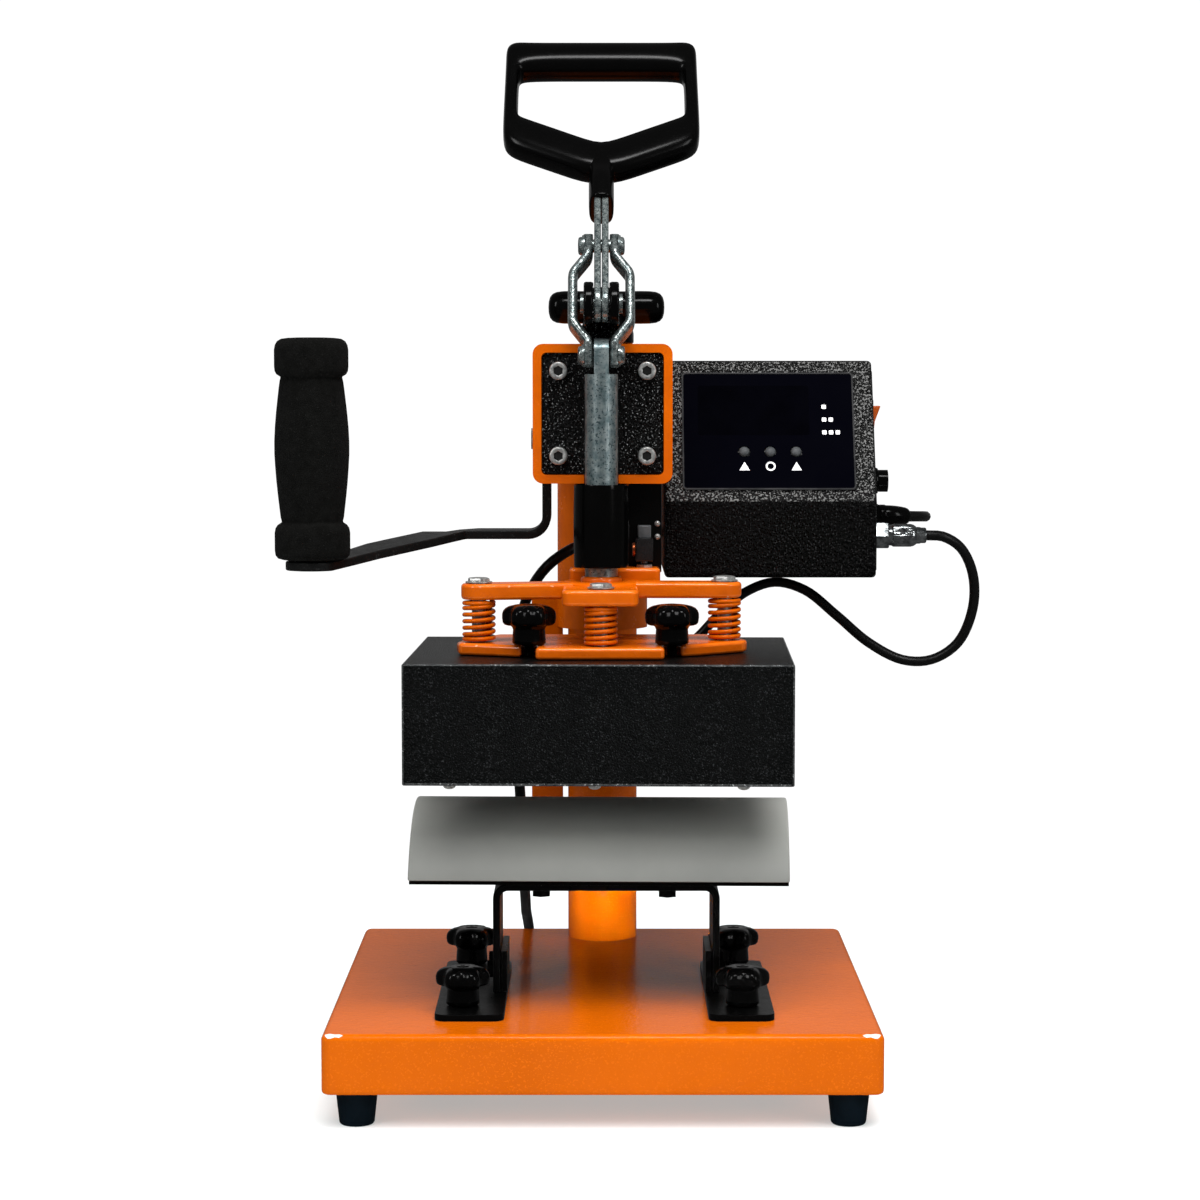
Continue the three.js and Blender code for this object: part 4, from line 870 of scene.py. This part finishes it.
# ------------------------------------------------------------------ base tray: one folded sheet, rounded at its edges and corners
def loop(inset, z, r=5.5):
    return [(x, y, z) for x, y in rrect(-151 + inset, 151 - inset, inset, 310 - inset, max(r - inset, 1.0), 7)]


rows = [loop(2, 53), loop(2, 24), loop(38, 24), loop(38, 22), loop(3.0, 22), loop(1.6, 22.15), loop(0.7, 22.6), loop(0.15, 23.4), loop(0, 24.6)]
rows += [loop(0, z) for z in (30, 40, 50)]
rows += [loop(3.6 * (1 - math.cos(math.radians(t))), 51.4 + 3.6 * math.sin(math.radians(t))) for t in (0, 15, 30, 45, 60, 75, 90)]
v, f = grid(rows)
tray = make("base_tray_folded", v, f, MAT["orange"], "base", "base_tray", shade_angle=50)
for nm, sx in (("left", -1), ("right", 1)):
    rows = []
    for t in (26, 42, 56, 70, 84):
        row_ = []
        for b, w_ in ((-24, 0.15), (-17, 0.7), (-8, 0.55), (0, 0.95), (18, 1.0), (36, 0.6), (54, 0.15)):
            tt = 58 + (t - 58) * w_
            rr = 5.5 - 3.6 * (1 - math.cos(math.radians(tt))) + 0.06
            z = 51.4 + 3.66 * math.sin(math.radians(tt))
            row_.append((sx * (151 - 5.5 + rr * math.sin(math.radians(b))) if b >= 0 else sx * (151 - 5.5 + b * 0.26), 5.5 - rr * math.cos(math.radians(max(b, 0))), z))
        rows.append(row_)
    v = [p_ for r_ in rows for p_ in r_]
    f = [(i * 7 + j, i * 7 + j + 1, (i + 1) * 7 + j + 1, (i + 1) * 7 + j) for i in range(4) for j in range(6)]
    n = len(v)
    v += [(x * 0.998, y + 0.5, z - 0.4) for x, y, z in v]
    f += [tuple(n + i for i in reversed(q)) for q in f]
    rim = [j for j in range(7)] + [i * 7 + 6 for i in range(1, 5)] + [4 * 7 + j for j in range(5, -1, -1)] + [i * 7 for i in range(3, 0, -1)]
    f += [(rim[i], n + rim[i], n + rim[(i + 1) % len(rim)], rim[(i + 1) % len(rim)]) for i in range(len(rim))]
    make("corner_chip_" + nm, v, f, MAT["chip"], "base", shade_angle=60)

# ------------------------------------------------------------------ heater cover: folded sheet with rounded edges and an arched underside
x0, x1, y0, y1, z0, z1 = -107.0, 107.0, -77.0, 93.0, 183.3, 250.0
n = 24
arch_r, arch_z = 71.0, 145.0
ya = math.sqrt(arch_r ** 2 - (z0 - arch_z) ** 2)
arch = [(arch_r * math.sin(t), arch_z + arch_r * math.cos(t)) for t in [math.asin(ya / arch_r) * (1 - 2 * i / n) for i in range(n + 1)]]
side = [(y0, z0), (y0, z1), (y1, z1), (y1, z0)] + arch
wall = [(y0 + 2, z0), (y0 + 2, z1 - 2), (y1 - 2, z1 - 2), (y1 - 2, z0)] + arch
m = len(side)
v = [(x0, y, z) for y, z in side] + [(x1, y, z) for y, z in side]
f = [tuple(range(m)), tuple(range(2 * m - 1, m - 1, -1)), (0, m, m + 1, 1), (1, m + 1, m + 2, 2), (2, m + 2, m + 3, 3)]
v += [(x0 + 2, y, z) for y, z in wall] + [(x1 - 2, y, z) for y, z in wall]
a, b = 2 * m, 3 * m
f += [tuple(a + i for i in reversed(range(m))), tuple(b + i for i in range(m)), (a, a + 1, b + 1, b), (a + 1, a + 2, b + 2, b + 1), (a + 2, a + 3, b + 3, b + 2)]
f += [(0, a, b, m), (3, m + 3, b + 3, a + 3)]
for i in range(3, m):
    j = (i + 1) % m
    f += [(i, a + i, a + j, j), (m + i, m + j, b + j, b + i)]
# its bevel faces take the lighter black edge finish: painted edge highlight
make("heater_cover_folded", v, f, MAT["black_fine"], "press_head", "heater_cover", M=M_HEATER, bevel=1.5, segs=4, angle=50, shade_angle=50, edge=MAT["edge_black"])
g = Geo()
g.add(*lathe([(3.4, 92.4), (6.0, 92.4), (6.0, 98.6), (5.4, 99.8), (4.2, 100.0), (3.4, 99.6)], 28)[0:2], at(36.5, 0, 233) @ AXY)
make("cable_bushing", g.v, g.f, MAT["gloss"], "press_head", M=M_HEATER, shade_angle=50)
g = Geo()
g.add(*prism(rrect(x0 + 1.5, x1 - 1.5, y0 - 0.5, y0 + 1.2, 0.3, 2), z0 + 0.15, z0 + 1.5))
# the lip takes the lighter black edge finish: a painted highlight along the cover's lower front edge
make("cover_lip", g.v, g.f, MAT["edge_black"], "press_head", M=M_HEATER, bevel=0.4, segs=2)

# ------------------------------------------------------------------ control box: folded shell with soft edges, side flange lines and the round knock-out
prof = [(158, 289), (158, 333.5), (198.9, 414.8), (265, 414.8), (265, 289)]
n = len(prof)
v = [(36, y, z) for y, z in prof] + [(159, y, z) for y, z in prof]
f = [tuple(range(n)), tuple(range(2 * n - 1, n - 1, -1))] + [(i, n + i, n + (i + 1) % n, (i + 1) % n) for i in range(n)]
shell = make("control_box_shell", v, f, MAT["black_wrinkle"], "swing_head", "control_box", bevel=2.4, segs=4, angle=15, shade_angle=50)
# the up-facing faces of the sloping front get the lit copy of the wrinkle finish: painted sheen and glints of light
shell.data.materials.append(MAT["wrinkle_slope_painted_sheen"])
for poly in shell.data.polygons:
    if poly.normal.z > 0.3 and poly.normal.y < -0.3:
        poly.material_index = 1
inner = [(162.5, 293), (162.5, 332.4), (201, 408.8), (260.8, 408.8), (260.8, 293)]
for nm, xs, dx in (("flange_right", 159.0, 0.55), ("flange_left", 36.0, -0.55)):
    v = [(xs - dx, y, z) for y, z in inner] + [(xs + dx, y, z) for y, z in inner]
    f = [tuple(range(n)), tuple(range(2 * n - 1, n - 1, -1))] + [(i, n + i, n + (i + 1) % n, (i + 1) % n) for i in range(n)]
    make("control_box_" + nm, v, f, MAT["black_wrinkle"], "swing_head", bevel=0.5, segs=2, angle=15)
g = Geo()
g.add(*lathe([(6.1, 157.9), (6.1, 157.55), (6.5, 157.3), (7.0, 157.5), (7.1, 157.9), (7.1, 158.3), (6.1, 158.3)], 48), at(49.5, 0, 313.6) @ AXY)
make("knock_out_ring", g.v, g.f, MAT["black_wrinkle"], "swing_head", shade_angle=60)
v, f = prism(rrect(196.5, 213.5, 367, 392, 1.6, 4), 158.4, 160.2)
make("rocker_frame", v, f, MAT["switch"], "swing_head", M=Matrix(((0, 0, 1, 0), (1, 0, 0, 0), (0, 1, 0, 0), (0, 0, 0, 1))), bevel=0.5, segs=3)

# ------------------------------------------------------------------ heater connector, fuse, rocker, buttons
g = Geo()
hexa = [(8.5 / math.cos(((a * 7.5 + 30) % 60 - 30) * math.pi / 180) * math.cos(math.radians(30)), a * 7.5) for a in range(48)]
rows = []
for x, kk in ((159.3, 0.95), (160.0, 1.0), (167.2, 1.0), (168, 0.93)):
    rows.append([(r * kk * math.cos(math.radians(a)), r * kk * math.sin(math.radians(a)), x) for r, a in hexa])
v, f = grid(rows)
g.add(v, f, at(0, 180, 312.5) @ AXX)


def knurl(a, r, z):
    return 1.0 + (0.05 * (0.5 + 0.5 * math.cos(28 * a)) if 170.5 < z < 182 and r > 6.2 else 0.0)


g.add(*lathe([(0.3, 167), (6.0, 167), (6.0, 169.6), (6.4, 170.2), (6.4, 171), (6.4, 176), (6.4, 181), (6.3, 182.6), (5.4, 184), (5.0, 184.2), (4.9, 186.5), (4.6, 187), (4.6, 189.4), (4.2, 190), (0.3, 190)], 112, knurl), at(0, 180, 312.5) @ AXX)
g.add(*lathe([(0.3, 150), (4.9, 150), (4.9, 160), (0.3, 160)], 24), at(0, 180, 312.5) @ AXX)
make("metal_connector", g.v, g.f, MAT["connector"], "swing_head", "heater_connector", shade_angle=36)

g = Geo()
v, f = lathe([(5.0, 159.3), (8, 159.3), (8, 162.4), (7.4, 163.6), (3.4, 163.6), (3.3, 162), (3.3, 142), (4.9, 140.2), (4.9, 159.4)], 40)
f = f[:-2] + [(i, (i + 1) % 40, 8 * 40 + (i + 1) % 40, 8 * 40 + i) for i in range(40)]
g.add(v, f, at(0, 205, 343.6) @ AXX)
make("fuse_body", g.v, g.f, MAT["gloss"], "swing_head", "fuse_holder", shade_angle=40)
dress("fuse_cap", MAT["gloss"], 0.35)
dress("power_rocker", MAT["rocker"], 0.8, 3)

for nm, x in (("button_left", 82.7), ("button_middle", 97.9), ("button_right", 113)):
    g = Geo()
    g.add(*lathe([(0.2, -2.35), (1.2, -2.3), (2.1, -2.1), (2.75, -1.7), (3.05, -1.1), (3.1, 0), (3.1, 4), (4.6, 4.05), (4.6, 5.5), (0.2, 5.5)], 40), at(x, 0, 31.3) @ AXY)
    make(nm + "_cap", g.v, g.f, MAT["button"], NODE_BODY[nm], nm, M=M_PANEL, shade_angle=50)

# panel: thin frame line, dark display window and generic marks
g = Geo()
o_, i_ = rrect(46.6, 147.4, 6.9, 82.6, 2.2), rrect(47.5, 146.5, 7.8, 81.7, 1.6)
n = len(o_)
v = [(x, -1.35, z) for x, z in o_] + [(x, -1.35, z) for x, z in i_] + [(x, -0.35, z) for x, z in o_] + [(x, -0.35, z) for x, z in i_]
f = []
for i in range(n):
    j = (i + 1) % n
    f += [(i, j, n + j, n + i), (2 * n + j, 2 * n + i, 3 * n + i, 3 * n + j), (i, 2 * n + i, 2 * n + j, j), (n + j, 3 * n + j, 3 * n + i, n + i)]
g.add(v, f)
make("panel_border", g.v, g.f, MAT["film_edge"], "swing_head", M=M_PANEL)
SWAP = Matrix(((1, 0, 0, 0), (0, 0, 1, 0), (0, 1, 0, 0), (0, 0, 0, 1)))
g = Geo()
for cx in (82.7, 113.0):
    g.add(*prism([(cx - 3.0, 19.2), (cx + 3.0, 19.2), (cx, 24.6)], -1.22, -1.05), SWAP)
ring_o, ring_i = [(97.9 + 2.9 * math.cos(math.radians(a)), 21.8 + 2.9 * math.sin(math.radians(a))) for a in range(0, 360, 10)], [(97.9 + 1.9 * math.cos(math.radians(a)), 21.8 + 1.9 * math.sin(math.radians(a))) for a in range(0, 360, 10)]
n = 36
v = [(x, -1.22, z) for x, z in ring_o] + [(x, -1.22, z) for x, z in ring_i] + [(x, -1.05, z) for x, z in ring_o] + [(x, -1.05, z) for x, z in ring_i]
f = []
for i in range(n):
    j = (i + 1) % n
    f += [(i, j, n + j, n + i), (2 * n + j, 2 * n + i, 3 * n + i, 3 * n + j), (i, 2 * n + i, 2 * n + j, j), (n + j, 3 * n + j, 3 * n + i, n + i)]
g.add(v, f)
for row_, count in ((60.2, 1), (51.9, 2), (43.6, 3)):
    for c in range(count):
        x = 128.5 + c * 3.9
        g.add(*prism(rrect(x, x + 2.6, row_ - 1.3, row_ + 1.3, 0.5, 3), -1.22, -1.05), SWAP)
make("panel_marks", g.v, g.f, MAT["white"], "swing_head", M=M_PANEL)
g = Geo()
g.add(*prism(rrect(56, 121, 42, 74, 1.5), -1.16, -1.05), SWAP)
make("panel_window", g.v, g.f, MAT["dark"], "swing_head", M=M_PANEL)

# ------------------------------------------------------------------ small domed screws of the covers
def dome(name, M, body, mat, r=3.2, h=1.7):
    g = Geo()
    g.add(*lathe([(0.2, 0), (r, 0), (r, 0.35), (r * 0.9, h * 0.55), (r * 0.68, h * 0.85), (r * 0.4, h), (r * 0.36, h * 0.7), (0.2, h * 0.66)], 28))
    return make(name, g.v, g.f, mat, body, M=M, shade_angle=50)


for i, x in enumerate((-81.5, -2.0, 79.5)):
    dome("cover_screw_%d" % (i + 1), M_HEATER @ at(x, 40 - AY + 6.5, 183.3, rx=math.pi), "press_head", MAT["screw"], 3.6, 2.4)
for i, (x, z) in enumerate(((31.6, 321), (31.6, 313.5))):
    dome("plate_screw_%d" % (i + 1), at(x, 148, z, rx=math.pi / 2), "swing_head", MAT["screw"], 1.7, 1.2)

# ------------------------------------------------------------------ CAD nodes that stay, with their finish
for nm in ("foot_front_left", "foot_front_right", "foot_rear_left", "foot_rear_right"):
    dress(nm, MAT["rubber"], 0.6, 2, angle=40)
dress("column_post", MAT["orange"], 0.6)
for nm in ("foot_rail_left", "foot_rail_right"):
    dress(nm, MAT["black_flat"], 0.7, 3)
dress("platen_pad", MAT["pad"], 1.0, 3, angle=40)
# shading painted into the pad's colour, dark at its long edges and light at its crown, to bring the front view near the photo; the real pad is probably even
pad_lo, pad_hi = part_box("platen_pad")
nt = MAT["pad"].node_tree
b = nt.nodes["Principled BSDF"]
was = b.inputs["Base Color"].links[0].from_socket
geo = nt.nodes.new("ShaderNodeNewGeometry")
xyz = nt.nodes.new("ShaderNodeSeparateXYZ")
nt.links.new(geo.outputs["Position"], xyz.inputs[0])
mr = node(nt, "ShaderNodeMapRange", **{"From Min": pad_lo.z, "From Max": pad_hi.z})
nt.links.new(xyz.outputs["Z"], mr.inputs["Value"])
pad_shade_ramp = nt.nodes.new("ShaderNodeValToRGB")
pad_shade_ramp.color_ramp.elements[0].position, pad_shade_ramp.color_ramp.elements[1].position = 0.0, 1.0
pad_shade_ramp.color_ramp.elements[0].color, pad_shade_ramp.color_ramp.elements[1].color = (0.385, 0.385, 0.385, 1), (1, 1, 1, 1)
mid = pad_shade_ramp.color_ramp.elements.new(0.6)
mid.color = (0.68, 0.68, 0.68, 1)
nt.links.new(mr.outputs["Result"], pad_shade_ramp.inputs["Fac"])
mix = nt.nodes.new("ShaderNodeMix")
mix.data_type, mix.blend_type = "RGBA", "MULTIPLY"
mix.inputs[0].default_value = 1.0
nt.links.new(was, mix.inputs[6])
nt.links.new(pad_shade_ramp.outputs["Color"], mix.inputs[7])
nt.links.new(mix.outputs[2], b.inputs["Base Color"])
dress("platen_shell", MAT["black_flat"], 0.4)
dress("swing_arm", MAT["orange_gloss"], 1.3, 3, angle=45)
dress("clamp_bracket", MAT["black_painted_glints"], 0.9, 3, angle=45)
dress("pivot_pin", MAT["zinc"], 0.5)
dress("side_handle_bolt", MAT["screw"], 0.6)
dress("control_panel", MAT["film"], 0.2)
dress("controller_board", MAT["board"], 0.3)
dress("switch_plate", MAT["black_flat"], 0.5)
dress("limit_switch", MAT["switch"], 0.7)
g = Geo()
g.add(*prism(rrect(20.2, 27.8, 136.7, 146.3, 1.0, 4), 313.2, 320.4))
make("switch_terminal", g.v, g.f, MAT["grey"], "swing_head", bevel=0.6, segs=3)
g = Geo()
g.add(*lathe([(1.0, 17.0), (3.4, 17.0), (3.9, 17.4), (3.9, 18.7), (1.0, 18.7)], 32), at(0, 141, 306.5) @ AXX)
make("switch_terminal_lug", g.v, g.f, MAT["copper"], "swing_head", shade_angle=45)
dress("limit_switch_pin", MAT["steel"], 0.5)
dress("plunger", MAT["zinc_shaft"], 0.6, 2, angle=40)
dress("heater_element", MAT["alu"], 0.6, 2, angle=40)

# ------------------------------------------------------------------ floor, light
fl = bpy.data.meshes.new("floor")
fl.from_pydata([(-1.5, -2.2, 0), (1.5, -2.2, 0), (1.5, 0.62, 0), (-1.5, 0.62, 0)], [], [(0, 1, 2, 3)])
floor = bpy.data.objects.new("floor", fl)
scene.collection.objects.link(floor)
mf = material("floor_white", rgb(206, 206, 206), rgb(210, 210, 210), 0.75, blotch=0.8, grain=40, bump=0.0, spec=0.0)
fb = mf.node_tree.nodes["Principled BSDF"]
fb.inputs["Emission Color"].default_value = (0.88, 1, 1, 1)
fb.inputs["Emission Strength"].default_value = 0.40
fl.materials.append(mf)
floor.visible_glossy = False
tray.visible_glossy = False

world = bpy.data.worlds.new("studio")
scene.world = world
world.use_nodes = True
nt = world.node_tree
bg = nt.nodes["Background"]
bg.inputs["Color"].default_value = (1, 1, 1, 1)
bg.inputs["Strength"].default_value = 0.10
white = nt.nodes.new("ShaderNodeBackground")
white.inputs["Color"].default_value = (1, 1, 1, 1)
white.inputs["Strength"].default_value = 1.05
lp = nt.nodes.new("ShaderNodeLightPath")
mix = nt.nodes.new("ShaderNodeMixShader")
nt.links.new(lp.outputs["Is Camera Ray"], mix.inputs[0])
nt.links.new(bg.outputs[0], mix.inputs[1])
nt.links.new(white.outputs[0], mix.inputs[2])
nt.links.new(mix.outputs[0], nt.nodes["World Output"].inputs[0])


def area(name, loc, target, size, size_y, power):
    l = bpy.data.lights.new(name, "AREA")
    l.shape, l.size, l.size_y, l.energy = "RECTANGLE", size, size_y, power
    o = bpy.data.objects.new(name, l)
    scene.collection.objects.link(o)
    o.location = loc
    o.rotation_euler = (Vector(target) - Vector(loc)).to_track_quat("-Z", "Y").to_euler()
    return o


area("key_left", (-1.15, -1.25, 1.15), (0, 0, 0.25), 0.30, 0.9, 7)
area("key_right", (1.3, -1.25, 0.85), (0, 0, 0.25), 0.30, 0.9, 5)
slope = area("slope", (0.1, -1.0, 1.75), (0.05, 0, 0.35), 0.6, 0.35, 11)
slope.visible_diffuse = False
area("back", (0.0, 1.7, 0.75), (0, 0, 0.25), 3.0, 0.9, 1.9)
low = area("low", (0.10, -0.80, 0.079), (0.0, 0.12, 0.086), 0.16, 0.02, 0.065)
low.data.spread = math.radians(6)
low.visible_glossy = False
top = area("top", (0.30, -0.50, 1.60), (0.05, -0.05, 0.05), 1.1, 0.7, 17)
top.visible_glossy = False
sun = bpy.data.lights.new("wash", "SUN")
sun.energy, sun.angle = 3.1, math.radians(60)
so = bpy.data.objects.new("wash", sun)
scene.collection.objects.link(so)
so.rotation_euler = (math.radians(22.5), 0, 0)
so.visible_glossy = False

scene.view_settings.view_transform = "Standard"
scene.view_settings.look = "None"
